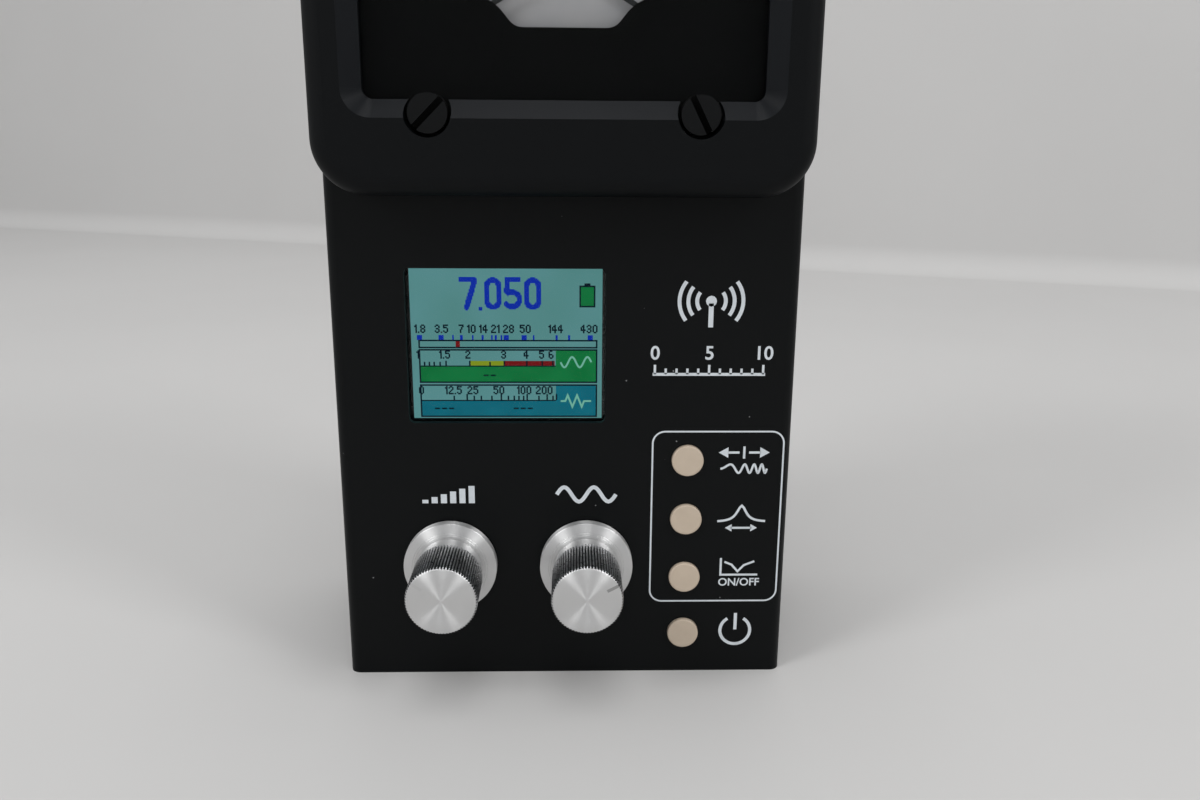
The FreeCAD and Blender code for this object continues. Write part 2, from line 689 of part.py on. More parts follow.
def cut_panel(body):
    """Openings of the panel: meter, display, encoders, keys and studs."""
    def draw(sketch):
        draw_rectangle(
            sketch, 0, window_centre, cup_inner_width + 2 * cup_wall + 2 * part_gap,
            cup_inner_height + 2 * cup_wall + 2 * part_gap, window_corner_radius,
        )
        draw_rectangle(
            sketch, screen_x, screen_height, screen_cut_width, screen_cut_height,
            screen_cut_radius,
        )
        for name, x in knob_places:
            draw_circle(sketch, x, knob_height, bushing_diameter + 2 * part_gap)
        for name, z in key_heights:
            draw_circle(sketch, key_x, z, key_diameter + 2 * key_hole_gap)
        for side in (-1, 1):
            for z in stud_heights:
                draw_circle(sketch, side * stud_x, z, screw_diameter + screw_clearance)

    pocket_between(body, draw, panel, panel_back)


def jack_screw_places(x):
    """X and Y of the four flange screws of a jack."""
    half = jack_screw_pitch / 2
    return [(x + a * half, jack_y + b * half) for a in (-1, 1) for b in (-1, 1)]


def cut_case_top(body):
    """Holes of the top wall: jack tails, their screws and the power jack."""
    def draw(sketch):
        for name, x in jack_places:
            draw_circle(sketch, x, jack_y, jack_tail_diameter + 2 * part_gap)
            for screw_x, screw_y in jack_screw_places(x):
                draw_circle(sketch, screw_x, screw_y, screw_diameter + screw_fit)
        draw_circle(sketch, 0, jack_y, dc_jack_diameter + 2 * part_gap)

    pocket_down(body, draw, case_height - sheet_thickness, case_height)


def make_back_cover():
    """Flat rear cover on the rim of the case."""
    body = new_body("back_cover")
    plate = lambda s: draw_rectangle(
        s, 0, case_height / 2, case_width, case_height, cover_corner_radius
    )
    pad_between(body, plate, cover_front, case_back)

    def draw(sketch):
        for x, z in corner_screw_places():
            draw_circle(sketch, x, z, screw_diameter + screw_clearance)

    pocket_between(body, draw, cover_front, case_back)
    return keep(body)


def make_back_cover_screws():
    shank = cover_thickness + sheet_thickness + screw_tail
    points, radii = pan_head_points(case_back, 1, shank)
    group("back_cover_screws", [
        turned_along_y("cover_screw", points, x, z, radii) for x, z in corner_screw_places()
    ])


def make_meter_bezel():
    """Moulded frame with a rounded front edge, a sloped band and four stud bosses."""
    body = new_body("meter_bezel")
    outer = lambda s: draw_rectangle(
        s, 0, bezel_centre, bezel_width, bezel_height, bezel_corner_radius
    )
    pad_between(body, outer, bezel_face, panel)
    front_edges = edges_where(
        body, lambda b: near(b.YMin, bezel_face) and near(b.YMax, bezel_face)
    )
    dress(body, "Fillet", front_edges, bezel_edge_radius)
    cavity = lambda s: draw_rectangle(
        s, 0, bezel_centre, bezel_width - 2 * bezel_side_wall,
        bezel_height - 2 * bezel_side_wall, bezel_corner_radius - bezel_side_wall,
    )
    pocket_between(body, cavity, bezel_wall_back, panel)
    opening = lambda s: draw_rectangle(
        s, 0, window_centre, window_width, window_height, window_corner_radius
    )
    pocket_between(body, opening, bezel_face, bezel_wall_back)
    limit = window_width.number / 2 + TOLERANCE
    low, high = window_bottom.number - TOLERANCE, window_top.number + TOLERANCE
    band_edges = edges_where(
        body, lambda b: near(b.YMin, bezel_face) and near(b.YMax, bezel_face)
        and abs(b.XMin) <= limit and abs(b.XMax) <= limit and b.ZMin >= low and b.ZMax <= high
    )
    dress(body, "Chamfer", band_edges, window_band)
    add_bezel_bosses(body)
    recess = lambda s: [
        draw_circle(s, side * adjuster_x, adjuster_height, adjuster_hole) for side in (-1, 1)
    ]
    pocket_between(body, recess, bezel_face, bezel_wall_back)
    return keep(body)


def add_bezel_bosses(body):
    """Corner bosses that grow out of the front wall and take the studs."""
    boss_back = panel - cup_flange_thickness
    boss_front = bezel_wall_back - bezel_edge_radius / 2
    for side in (-1, 1):
        for z in stud_heights:
            boss = lambda s: draw_circle(s, side * stud_x, z, stud_boss_diameter)
            pad_between(body, boss, boss_front, boss_back)
    stud_end = panel_back + nut_thickness + stud_tail - stud_length

    def draw(sketch):
        for side in (-1, 1):
            for z in stud_heights:
                draw_circle(sketch, side * stud_x, z, screw_diameter + screw_fit)

    pocket_between(body, draw, stud_end - part_gap, boss_back)


def make_meter_fasteners():
    """Studs from the bezel's bosses through the panel, with their nuts."""
    stud_back = panel_back + nut_thickness + stud_tail
    places = [(side * stud_x, z) for side in (-1, 1) for z in stud_heights]
    studs = []
    nuts = []
    for x, z in places:
        points = ring_points(0, screw_diameter, stud_back - stud_length, stud_back)
        studs.append(turned_along_y("meter_stud", points, x, z))
        nuts.append(make_nut("meter_nut", x, z, panel_back, nut_thickness, nut_across_flats,
                             screw_diameter + screw_fit))
    group("meter_studs", studs)
    group("meter_nuts", nuts)


def make_nut(label, x, z, front, thickness, flats, bore):
    """A hexagonal nut on an axis along Y."""
    body = new_body(label)

    def draw(sketch):
        draw_hexagon(sketch, sized(0), sized(0), flats)
        draw_circle(sketch, 0, 0, bore)

    pad_between(body, draw, front, front + thickness)
    place(body, x, 0, z)
    return body


def make_meter_window():
    """Clear pane behind the bezel, with a hole for each adjuster's neck."""
    body = new_body("meter_window")
    pane_back = bezel_wall_back + pane_thickness

    def draw(sketch):
        draw_rectangle(
            sketch, 0, window_centre, window_width + 2 * pane_lap - 2 * part_gap,
            window_height + 2 * pane_lap - 2 * part_gap, window_corner_radius,
        )
        for side in (-1, 1):
            draw_circle(sketch, side * adjuster_x, adjuster_height,
                        adjuster_neck + 2 * running_gap)

    pad_between(body, draw, bezel_wall_back, pane_back)
    return keep(body)


def mask_outline():
    """The mask's outline from the lower left corner, with its arcs."""
    rise = 1 - cosine(mask_slope)
    half_valley = valley_width / 2
    half_width = window_width / 2 + pane_lap - part_gap
    bottom = window_bottom - pane_lap + part_gap
    foot_x = half_valley + valley_radius * sine(mask_slope)
    foot_z = valley_height + valley_radius * rise
    head_x = foot_x + mask_slope_length * cosine(mask_slope)
    head_z = foot_z + mask_slope_length * sine(mask_slope)
    top_x = head_x + hump_radius * sine(mask_slope)
    top_z = head_z + hump_radius * rise
    points = [
        (-half_width, bottom), (half_width, bottom), (half_width, top_z), (top_x, top_z),
        (head_x, head_z), (foot_x, foot_z), (half_valley, valley_height),
        (-half_valley, valley_height), (-foot_x, foot_z), (-head_x, head_z),
        (-top_x, top_z), (-half_width, top_z),
    ]
    arcs = {
        3: (hump_radius, True), 5: (valley_radius, False),
        7: (valley_radius, False), 9: (hump_radius, True),
    }
    return points, arcs


def make_meter_mask():
    """Black mask over the pivots, with a valley that shows the dial between them."""
    body = new_body("meter_mask")
    points, arcs = mask_outline()

    def draw(sketch):
        draw_path(sketch, points, arcs)
        for side in (-1, 1):
            draw_circle(sketch, side * adjuster_x, adjuster_height, adjuster_neck)

    pad_between(body, draw, mask_front, mask_back)
    return keep(body)


def make_meter_dial():
    """Dial plate with a hole for each pivot staff."""
    body = new_body("meter_dial")

    def draw(sketch):
        draw_rectangle(
            sketch, 0, window_centre, cup_inner_width - 2 * part_gap,
            cup_inner_height - 2 * part_gap,
        )
        for side in (-1, 1):
            draw_circle(sketch, side * pivot_x, pivot_height,
                        needle_hub_diameter + 2 * needle_hub_gap)

    pad_between(body, draw, dial_front, dial_back)
    return keep(body)


def make_meter_housing():
    """Open cup through the panel: flange, walls up to the mask and posts for the dial."""
    body = new_body("meter_housing")
    outer_width = cup_inner_width + 2 * cup_wall
    outer_height = cup_inner_height + 2 * cup_wall
    cup = lambda s: draw_rectangle(s, 0, window_centre, outer_width, outer_height,
                                   window_corner_radius)
    pad_between(body, cup, mask_back, cup_floor_back)
    flange = lambda s: draw_rectangle(
        s, 0, bezel_centre, bezel_width - 2 * bezel_side_wall - 2 * part_gap,
        bezel_height - 2 * bezel_side_wall - 2 * part_gap,
        bezel_corner_radius - bezel_side_wall,
    )
    pad_between(body, flange, panel - cup_flange_thickness, panel)
    hollow = lambda s: draw_rectangle(s, 0, window_centre, cup_inner_width, cup_inner_height)
    pocket_between(body, hollow, mask_back, cup_floor_front)
    for x, z in dial_post_places():
        post = lambda s: draw_circle(s, x, z, dial_post_diameter)
        pad_between(body, post, dial_back, cup_floor_front)

    def draw_stud_holes(sketch):
        for side in (-1, 1):
            for z in stud_heights:
                draw_circle(sketch, side * stud_x, z, screw_diameter + screw_clearance)

    pocket_between(body, draw_stud_holes, panel - cup_flange_thickness, panel)
    return keep(body)


def dial_post_places():
    """X and Z of the dial's posts, in the corners of the cup."""
    x = cup_inner_width / 2 - dial_post_diameter
    half = cup_inner_height / 2 - dial_post_diameter
    return [(a * x, window_centre + b * half) for a in (-1, 1) for b in (-1, 1)]


def set_turned(body, angle, x, z):
    """Turns a piece that was drawn level about its own Y axis and sets it on its place."""
    body.Placement = FreeCAD.Placement(V(0, 0, 0), FreeCAD.Rotation(V(0, -1, 0), angle.number))
    body.setExpression("Placement.Rotation.Angle", angle.text)
    place(body, x, 0, z)


def from_inside(side, angle):
    """An angle above level on the left side, or its mirror image on the right."""
    return angle if side < 0 else 180 - angle


def make_needle(side_name, side, face):
    """Balanced pointer on its hub and staff, drawn level and then turned to zero."""
    body = new_body("%s_needle" % side_name)
    blade_front = panel - face
    blade = [
        (-needle_tail, -needle_root), (0, -needle_root / 2), (needle_length, -needle_tip / 2),
        (needle_length, needle_tip / 2), (0, needle_root / 2), (-needle_tail, needle_root),
    ]
    pad_between(body, lambda s: draw_path(s, blade), blade_front, blade_front + needle_thickness)
    hub = lambda s: draw_circle(s, 0, 0, needle_hub_diameter)
    pad_between(body, hub, blade_front, dial_front - part_gap)
    staff = lambda s: draw_circle(s, 0, 0, staff_diameter)
    pad_between(body, staff, blade_front, coil_front)
    set_turned(body, from_inside(side, needle_rest_angle), side * pivot_x, pivot_height)
    return keep(body)


def make_coil(side_name, side):
    """Rectangular moving coil, with the rear pivot of the staff."""
    body = new_body("%s_coil" % side_name)

    def draw(sketch):
        draw_rectangle(sketch, 0, coil_centre, coil_width, coil_length, coil_thickness)
        draw_rectangle(
            sketch, 0, coil_centre, coil_width - 2 * coil_thickness,
            coil_length - 2 * coil_thickness,
        )

    pad_up(body, draw, -coil_band / 2, coil_band / 2)
    staff = lambda s: draw_circle(s, 0, 0, staff_diameter)
    staff_end = rear_bridge_front + bridge_thickness / 2
    pad_between(body, staff, coil_back - coil_thickness / 2, staff_end)
    angle = from_inside(side, 90 - needle_travel / 2)
    set_turned(body, angle, side * pivot_x, pivot_height)
    return keep(body)


def make_movement_frame(side_name, side):
    """Iron ring with two lugs that hold the magnet, between two pivot bridges."""
    body = new_body("%s_movement_frame" % side_name)
    ring = lambda s: [
        draw_circle(s, 0, 0, yoke_outer_diameter), draw_circle(s, 0, 0, yoke_inner_diameter)
    ]
    pad_between(body, ring, yoke_front, yoke_back)
    lug_inner = magnet_diameter / 2 + part_gap
    lug_outer = yoke_middle_radius
    for way in (-1, 1):
        lug = lambda s: draw_rectangle(
            s, way * (lug_inner + lug_outer) / 2, sized(0), lug_outer - lug_inner, yoke_lug_width
        )
        pad_between(body, lug, yoke_front, yoke_back)
    leg_width = (yoke_outer_diameter - yoke_inner_diameter) / 2 - 2 * part_gap
    leg_x = yoke_middle_radius
    for way in (-1, 1):
        leg = lambda s: draw_rectangle(s, way * leg_x, sized(0), leg_width, bridge_width)
        pad_between(body, leg, front_bridge_back - bridge_thickness, cup_floor_front)
    bridge = lambda s: [
        draw_rectangle(s, sized(0), sized(0), 2 * leg_x + leg_width, bridge_width),
        draw_circle(s, 0, 0, staff_diameter + 2 * running_gap),
    ]
    pad_between(body, bridge, front_bridge_back - bridge_thickness, front_bridge_back)
    pad_between(body, bridge, rear_bridge_front, cup_floor_front)
    place(body, side * pivot_x, 0, pivot_height)
    return keep(body)


def make_magnet(side_name, side):
    points = ring_points(
        0, magnet_diameter, coil_centre - magnet_length / 2, coil_centre + magnet_length / 2
    )
    return keep(turned_along_y("%s_magnet" % side_name, points, side * pivot_x, pivot_height))


def make_adjuster(side_name, side, slot_angle):
    """Slotted zero adjuster: head before the pane, neck in it, crank pin behind."""
    body = new_body("%s_zero_adjuster" % side_name)
    head_front = bezel_face + adjuster_sink
    head_back = bezel_wall_back - running_gap
    pane_back = bezel_wall_back + pane_thickness
    neck_back = pane_back + 2 * running_gap
    pin_back = mask_front
    head = lambda s: draw_circle(s, 0, 0, adjuster_diameter)
    pad_between(body, head, head_front, head_back)
    neck = lambda s: draw_circle(s, 0, 0, adjuster_neck)
    pad_between(body, neck, head_back, neck_back)
    pin = lambda s: draw_circle(s, adjuster_pin_offset, 0, adjuster_pin_diameter)
    pad_between(body, pin, neck_back, pin_back)
    slot = lambda s: draw_rectangle(
        s, sized(0), sized(0), adjuster_diameter + 2 * part_gap, adjuster_slot
    )
    pocket_between(body, slot, head_front, head_front + adjuster_slot_depth)
    set_turned(body, slot_angle, side * adjuster_x, adjuster_height)
    return keep(body)


def make_display():
    """Clear pane behind the panel, the glass and its backlight frame."""
    pane_back = panel_back + screen_pane_thickness
    pane = new_body("display_window")
    draw_pane = lambda s: draw_rectangle(
        s, screen_x, screen_height, screen_cut_width + 2 * screen_pane_lap,
        screen_cut_height + 2 * screen_pane_lap, screen_cut_radius,
    )
    pad_between(pane, draw_pane, panel_back, pane_back)
    keep(pane)
    glass_front = pane_back + part_gap
    glass_back = glass_front + screen_glass_thickness
    draw_module = lambda s: draw_rectangle(
        s, screen_x, screen_height, screen_module_width, screen_module_height
    )
    draw_glass = lambda s: draw_rectangle(
        s, screen_x, screen_height, screen_module_width - 2 * screen_frame_wall,
        screen_module_height - 2 * screen_frame_wall,
    )
    glass = new_body("display_glass")
    pad_between(glass, draw_glass, glass_front, glass_back)
    keep(glass)
    frame = new_body("display_frame")
    pad_between(frame, draw_module, glass_front, board_front)
    draw_seat = lambda s: draw_rectangle(
        s, screen_x, screen_height, screen_module_width - 2 * (screen_frame_wall - part_gap),
        screen_module_height - 2 * (screen_frame_wall - part_gap),
    )
    pocket_between(frame, draw_seat, glass_front, glass_back)
    keep(frame)


def board_screw_places():
    """X and Z of the control board's spacers."""
    x = board_half_width - board_screw_inset
    heights = (board_bottom + board_screw_inset, board_top - board_screw_inset)
    return [(side * x, z) for side in (-1, 1) for z in heights]


def make_control_board():
    body = new_body("control_board")

    def draw(sketch):
        draw_rectangle(
            sketch, 0, (board_top + board_bottom) / 2, 2 * board_half_width,
            board_top - board_bottom,
        )
        for x, z in board_screw_places():
            draw_circle(sketch, x, z, screw_diameter + screw_clearance)

    pad_between(body, draw, board_front, board_back)
    keep(body)
    points, radii = pan_head_points(board_back, 1, board_thickness + board_screw_reach)
    group("board_screws", [
        turned_along_y("board_screw", points, x, z, radii) for x, z in board_screw_places()
    ])
    group("board_spacers", [
        make_nut("board_spacer", x, z, panel_back, board_front - panel_back, nut_across_flats,
                 screw_diameter + screw_fit)
        for x, z in board_screw_places()
    ])


def make_encoder(name, x):
    """Rotary encoder with a threaded bushing through the panel."""
    body = new_body("%s_encoder" % name)
    can = lambda s: draw_rectangle(s, sized(0), sized(0), encoder_width, encoder_width)
    pad_between(body, can, panel_back, board_front)
    bushing = lambda s: draw_circle(s, 0, 0, bushing_diameter)
    pad_between(body, bushing, panel - bushing_length, panel_back)
    bore = lambda s: draw_circle(s, 0, 0, shaft_diameter + 2 * running_gap)
    bore_back = board_front - encoder_back_wall
    pocket_between(body, bore, panel - bushing_length, bore_back)
    place(body, x, 0, knob_height)
    keep(body)
    shaft = ring_points(0, shaft_diameter, panel - shaft_length, bore_back - running_gap)
    keep(turned_along_y("%s_shaft" % name, shaft, x, knob_height))
    washer = ring_points(bushing_diameter + 2 * part_gap, washer_diameter, washer_front, panel)
    keep(turned_along_y("%s_washer" % name, washer, x, knob_height))
    nut = make_nut(
        "%s_nut" % name, x, knob_height, encoder_nut_front, encoder_nut_thickness,
        encoder_nut_flats, bushing_diameter + 2 * part_gap,
    )
    keep(nut)


def make_knob(name, x):
    """Turned knob: skirt, slope, groove, neck and knurled cap, hollow behind."""
    body = new_body("%s_knob" % name)
    back = knob_back
    rim = back - skirt_rim
    slope = rim - skirt_slope_rise
    groove = slope - knob_groove_depth
    neck = groove - knob_neck_length
    face = back - knob_length
    skirt = skirt_diameter / 2
    slope_end = skirt_slope_diameter / 2
    neck_radius = knob_neck_diameter / 2
    cap = knob_cap_diameter / 2
    recess = knob_recess_diameter / 2
    recess_front = back - knob_recess_depth
    bore = shaft_diameter / 2 + knob_bore_gap
    bore_front = back - knob_bore_depth
    points = [
        (recess, back), (recess, recess_front), (bore, recess_front), (bore, bore_front),
        (0, bore_front), (0, face), (cap - knob_chamfer, face), (cap, face + knob_chamfer),
        (cap, neck), (neck_radius, neck), (neck_radius, groove),
        (neck_radius - knob_groove_depth, groove), (neck_radius - knob_groove_depth, slope),
        (slope_end, slope), (skirt, rim), (skirt, back),
    ]
    turn_profile(body, PLAN_VIEW, points)
    cut_knurl(body, face + 2 * knob_chamfer, neck - knob_chamfer)
    cut_grub_hole(body, (groove + neck) / 2)
    place(body, x, 0, knob_height)
    return keep(body)


def cut_knurl(body, front, back):
    """Fine straight grooves round the cap, one cut and its polar copies."""
    sketch = new_sketch(body, FRONT_VIEW, -front)
    cap = knob_cap_diameter / 2
    pitch = math.pi * knob_cap_diameter / knurl_count
    half = pitch / 4
    points = [
        (-half, cap + knurl_depth), (0, cap - knurl_depth), (half, cap + knurl_depth)
    ]
    draw_path(sketch, points)
    first = cut_pocket(body, sketch, back - front)
    pattern = body.newObject("PartDesign::PolarPattern", "knurl")
    pattern.Originals = [first]
    pattern.Axis = (sketch, ["N_Axis"])
    pattern.Angle = 360
    pattern.setExpression("Occurrences", knurl_count.text)
    body.Tip = pattern


def cut_grub_hole(body, depth):
    """Cross hole for the grub screw, on the knob's lower side. It ends inside the bore."""
    sketch = new_sketch(body, PLAN_VIEW, -knob_neck_diameter / 2)
    draw_circle(sketch, 0, depth, grub_diameter + 2 * part_gap)
    document.recompute()
    before = body.Shape.Volume
    pocket = body.newObject("PartDesign::Pocket", "grub_hole")
    pocket.Profile = sketch
    pocket.Reversed = True
    pocket.setExpression("Length", (knob_neck_diameter / 2 - shaft_diameter / 4).text)
    document.recompute()
    if body.Shape.Volume >= before:
        raise ValueError("the grub screw hole removed nothing")


def make_grub_screw(name, x):
    groove = knob_back - skirt_rim - skirt_slope_rise - knob_groove_depth
    top = knob_height - shaft_diameter / 2 - part_gap
    points = ring_points(0, grub_diameter, top - grub_length, top)
    return keep(
        turned_along_z("%s_grub_screw" % name, points, x, groove - knob_neck_length / 2)
    )


def make_key(name, z):
    """Key cap with the flange that keeps it in and the stem on its switch."""
    front = panel - key_proud
    flange_front = panel_back + part_gap
    flange_back = flange_front + key_flange_thickness
    stem_back = board_front - switch_height - key_travel - running_gap
    cap, r = key_diameter / 2, key_edge_radius
    stem, flange = key_stem_diameter / 2, key_flange_diameter / 2
    edge_start = (cap, front + r)
    points = [
        (0, front), (0, stem_back), (stem, stem_back), (stem, flange_back),
        (flange, flange_back), (flange, flange_front), (cap, flange_front),
        edge_start, (cap - r, front),
    ]
    edge_round = {points.index(edge_start): (r, False)}
    return keep(turned_along_y(name, points, key_x, z, edge_round))


def make_key_switches():
    """Key switches on the control board."""
    switches = []
    for name, z in key_heights:
        body = new_body("key_switch")
        case = lambda s: draw_rectangle(s, sized(0), sized(0), switch_width, switch_width)
        plunger_front = board_front - switch_height
        pad_between(body, case, plunger_front + switch_plunger, board_front)
        plunger = lambda s: draw_circle(s, 0, 0, key_stem_diameter)
        pad_between(body, plunger, plunger_front, board_front)
        place(body, key_x, 0, z)
        switches.append(body)
    group("key_switches", switches)


def make_rf_board():
    """Radio board on posts behind the meter cup, with its screening can."""
    board = new_body("rf_board")
    board_shape = lambda s: draw_rectangle(
        s, 0, rf_board_top - rf_board_length / 2, rf_board_width, rf_board_length
    )
    pad_between(board, board_shape, rf_board_front, rf_board_back)
    keep(board)
    x = cup_inner_width / 2 - rf_post_inset
    half = cup_inner_height / 2 - rf_post_inset
    posts = []
    for a in (-1, 1):
        for b in (-1, 1):
            points = ring_points(0, rf_post_diameter, cup_floor_back, rf_board_front)
            posts.append(turned_along_y("rf_post", points, a * x, window_centre + b * half))
    group("rf_board_posts", posts)
    shield = new_body("rf_shield")
    can_centre = rf_board_top - rf_board_length / 2
    outer = lambda s: draw_rectangle(s, 0, can_centre, shield_width, shield_length, 2 * shield_wall)
    pad_between(shield, outer, rf_board_back, rf_board_back + shield_height)
    inner = lambda s: draw_rectangle(
        s, 0, can_centre, shield_width - 2 * shield_wall, shield_length - 2 * shield_wall
    )
    pocket_between(shield, inner, rf_board_back, rf_board_back + shield_height - shield_wall)
    keep(shield)


def make_jack_shell(name, x, length, bore, neck_length):
    """Flanged jack body with a plain thread cylinder and a tail through the top."""
    body = new_body("%s_jack_shell" % name)
    flange = lambda s: draw_rectangle(
        s, sized(0), sized(0), jack_flange_width, jack_flange_width, jack_flange_radius
    )
    pad_up(body, flange, case_height, jack_flange_top)
    tail = lambda s: draw_circle(s, 0, 0, jack_tail_diameter)
    pad_up(body, tail, jack_tail_low, case_height)
    top = jack_flange_top + length
    if neck_length is not None:
        neck = lambda s: draw_circle(s, 0, 0, n_neck_diameter)
        pad_up(body, neck, jack_flange_top, top)
    barrel = lambda s: draw_circle(s, 0, 0, jack_thread_diameter)
    pad_up(body, barrel, jack_flange_top + (neck_length or 0), top)
    cut_jack_bores(body, bore, top)
    place(body, x, jack_y, 0)
    return keep(body)


def cut_jack_bores(body, bore, top):
    """The bore, narrower through the tail, and the four screw holes of the flange."""
    wide = lambda s: draw_circle(s, 0, 0, bore)
    pocket_down(body, wide, jack_bore_step, top)
    narrow = lambda s: draw_circle(s, 0, 0, jack_tail_bore)
    pocket_down(body, narrow, jack_tail_low, jack_flange_top)

    def draw(sketch):
        half = jack_screw_pitch / 2
        for a in (-1, 1):
            for b in (-1, 1):
                draw_circle(sketch, a * half, b * half, screw_diameter + screw_clearance)

    pocket_down(body, draw, case_height, jack_flange_top)


def make_jack_insulator(name, x, top, bore, contact):
    """Stepped insulator that carries the centre contact."""
    low = jack_tail_low
    step = jack_bore_step + part_gap
    inner = contact / 2 + part_gap
    outer = bore / 2 - part_gap
    tail = jack_tail_bore / 2 - part_gap
    points = [(inner, low), (tail, low), (tail, step), (outer, step), (outer, top), (inner, top)]
    return keep(turned_along_z("%s_jack_insulator" % name, points, x, jack_y))


def make_jack_contact(name, x, contact, hole, hole_depth, top):
    """Centre contact with its hole and a solder tail with a stop collar."""
    low = jack_tail_low - part_gap
    tail_low = jack_tail_low - contact_tail_length
    tail = contact_tail_diameter / 2
    points = [
        (0, tail_low), (tail, tail_low), (tail, low), (contact / 2, low), (contact / 2, top),
        (hole / 2, top), (hole / 2, top - hole_depth), (0, top - hole_depth),
    ]
    return keep(turned_along_z("%s_jack_contact" % name, points, x, jack_y))


def make_jacks():
    """Both coaxial jacks on the top wall, with their screws."""
    uhf_top = jack_flange_top + uhf_length - uhf_insulator_sink
    make_jack_shell("uhf", -jack_x, uhf_length, uhf_bore, None)
    make_jack_insulator("uhf", -jack_x, uhf_top, uhf_bore, uhf_contact_outer)
    make_jack_contact("uhf", -jack_x, uhf_contact_outer, uhf_contact_bore, uhf_contact_depth,
                      uhf_top)
    n_top = jack_flange_top + n_length
    make_jack_shell("n", jack_x, n_length, n_bore, n_neck_length)
    make_jack_insulator("n", jack_x, n_top - n_insulator_sink, n_bore, n_contact_outer)
    make_jack_contact("n", jack_x, n_contact_outer, n_contact_bore, n_contact_depth,
                      n_top - n_contact_sink)
    shank = jack_flange_thickness + sheet_thickness + screw_tail
    points, radii = pan_head_points(jack_flange_top, 1, shank)
    screws = []
    for name, x in jack_places:
        for screw_x, screw_y in jack_screw_places(x):
            screws.append(turned_along_z("jack_screw", points, screw_x, screw_y, radii))
    group("jack_screws", screws)


def make_dc_jack():
    """Power jack: body under the top wall, threaded barrel, mouth with its pin, and nut."""
    top = case_height + dc_jack_proud
    under = case_height - sheet_thickness
    low = case_height - dc_jack_length
    bore, pin = dc_jack_bore / 2, dc_jack_pin / 2
    bore_low = top - dc_jack_bore_depth
    barrel, wide = dc_jack_diameter / 2, dc_body_diameter / 2
    points = [
        (0, low), (wide, low), (wide, under), (barrel, under), (barrel, top), (bore, top),
        (bore, bore_low), (pin, bore_low), (pin, top - part_gap), (0, top - part_gap),
    ]
    keep(turned_along_z("dc_jack", points, 0, jack_y))
    nut = new_body("dc_jack_nut")

    def draw(sketch):
        draw_hexagon(sketch, sized(0), sized(0), dc_nut_diameter)
        draw_circle(sketch, 0, 0, dc_jack_diameter + 2 * part_gap)

    pad_up(nut, draw, case_height, case_height + dc_nut_thickness)
    place(nut, 0, jack_y, 0)
    keep(nut)


def make_battery_holder():
    """Tray for six cells, three abreast and two deep, on the inside of the cover."""
    body = new_body("battery_holder")
    front = holder_back - holder_height
    centre = holder_bottom + holder_length / 2
    block = lambda s: draw_rectangle(s, 0, centre, holder_width, holder_length, holder_wall)
    pad_between(body, block, front, holder_back)

    def draw(sketch):
        for bay in cell_rows:
            draw_rectangle(
                sketch, 0, bay_bottom(bay) + cell_bay / 2, holder_width - 2 * holder_wall, cell_bay
            )

    pocket_between(body, draw, front, holder_back - holder_wall)
    return keep(body)


def bay_bottom(bay):
    """Height of the inside end of a row of cells."""
    return holder_bottom + holder_wall + bay * (cell_bay + holder_wall)


def make_cells():
    """Six AA cells, neighbours end for end."""
    cells = []
    plates = []
    for bay in cell_rows:
        for column in cell_columns:
            x = column * cell_pitch
            nub_below = (column + bay) % 2 == 1
            cells.append(make_cell(x, bay_bottom(bay) + cell_end_space, nub_below))
            plates += make_contacts(x, bay_bottom(bay))
    group("battery_cells", cells)
    group("battery_contacts", plates)


def make_cell(x, low, nub_below):
    """One cell, its positive nub at the lower or the upper end."""
    radius, nub = cell_diameter / 2, cell_nub_diameter / 2
    top = low + cell_length + cell_nub_length
    lower, upper = (nub, radius) if nub_below else (radius, nub)
    shoulder = low + (cell_nub_length if nub_below else cell_length)
    points = [
        (0, low), (lower, low), (lower, shoulder), (upper, shoulder), (upper, top), (0, top),
    ]
    return turned_along_z("cell", points, x, cell_axis - part_gap)


def make_contacts(x, low):
    """Plated contact strips that touch both ends of a cell."""
    made = []
    for height in (low, low + cell_bay - cell_end_space + part_gap):
        plate = document.addObject("Part::Box", "contact")
        plate.setExpression("Length", contact_width.text)
        plate.setExpression("Width", contact_width.text)
        plate.setExpression("Height", (cell_end_space - part_gap).text)
        place(plate, x - contact_width / 2, cell_axis - contact_width / 2, height)
        made.append(plate)
    return made


def build():
    make_front_case()
    make_back_cover()
    make_back_cover_screws()
    make_meter_bezel()
    make_meter_fasteners()
    make_meter_window()
    make_meter_mask()
    make_meter_dial()
    make_meter_housing()
    sides = [("left", -1, left_needle_face, left_slot_angle),
             ("right", 1, right_needle_face, right_slot_angle)]
    for side_name, side, needle_face, slot_angle in sides:
        make_needle(side_name, side, needle_face)
        make_coil(side_name, side)
        make_movement_frame(side_name, side)
        make_magnet(side_name, side)
        make_adjuster(side_name, side, slot_angle)
    make_display()
    make_control_board()
    for name, x in knob_places:
        make_encoder(name, x)
        make_knob(name, x)
        make_grub_screw(name, x)
    for name, z in key_heights:
        make_key(name, z)
    make_key_switches()
    make_rf_board()
    make_jacks()
    make_dc_jack()
    make_battery_holder()
    make_cells()


def check():
    """Stops if any object failed or any sub-part has no valid solid."""
    document.recompute()
    for thing in document.Objects:
        if "Invalid" in thing.State or "Error" in thing.State:
            raise ValueError("%s failed: %s" % (thing.Label, thing.State))
    for thing in sub_parts:
        if thing.Shape.isNull() or not thing.Shape.isValid() or not thing.Shape.Solids:
            raise ValueError("%s has no valid solid" % thing.Label)


def write():
    os.makedirs("parts", exist_ok=True)
    for thing in sub_parts:
        thing.Shape.exportStep(os.path.join("parts", thing.Label + ".step"))
        print("%-24s %3d solids %12.2f mm3" % (
            thing.Label, len(thing.Shape.Solids), thing.Shape.Volume))


build()
check()
write()
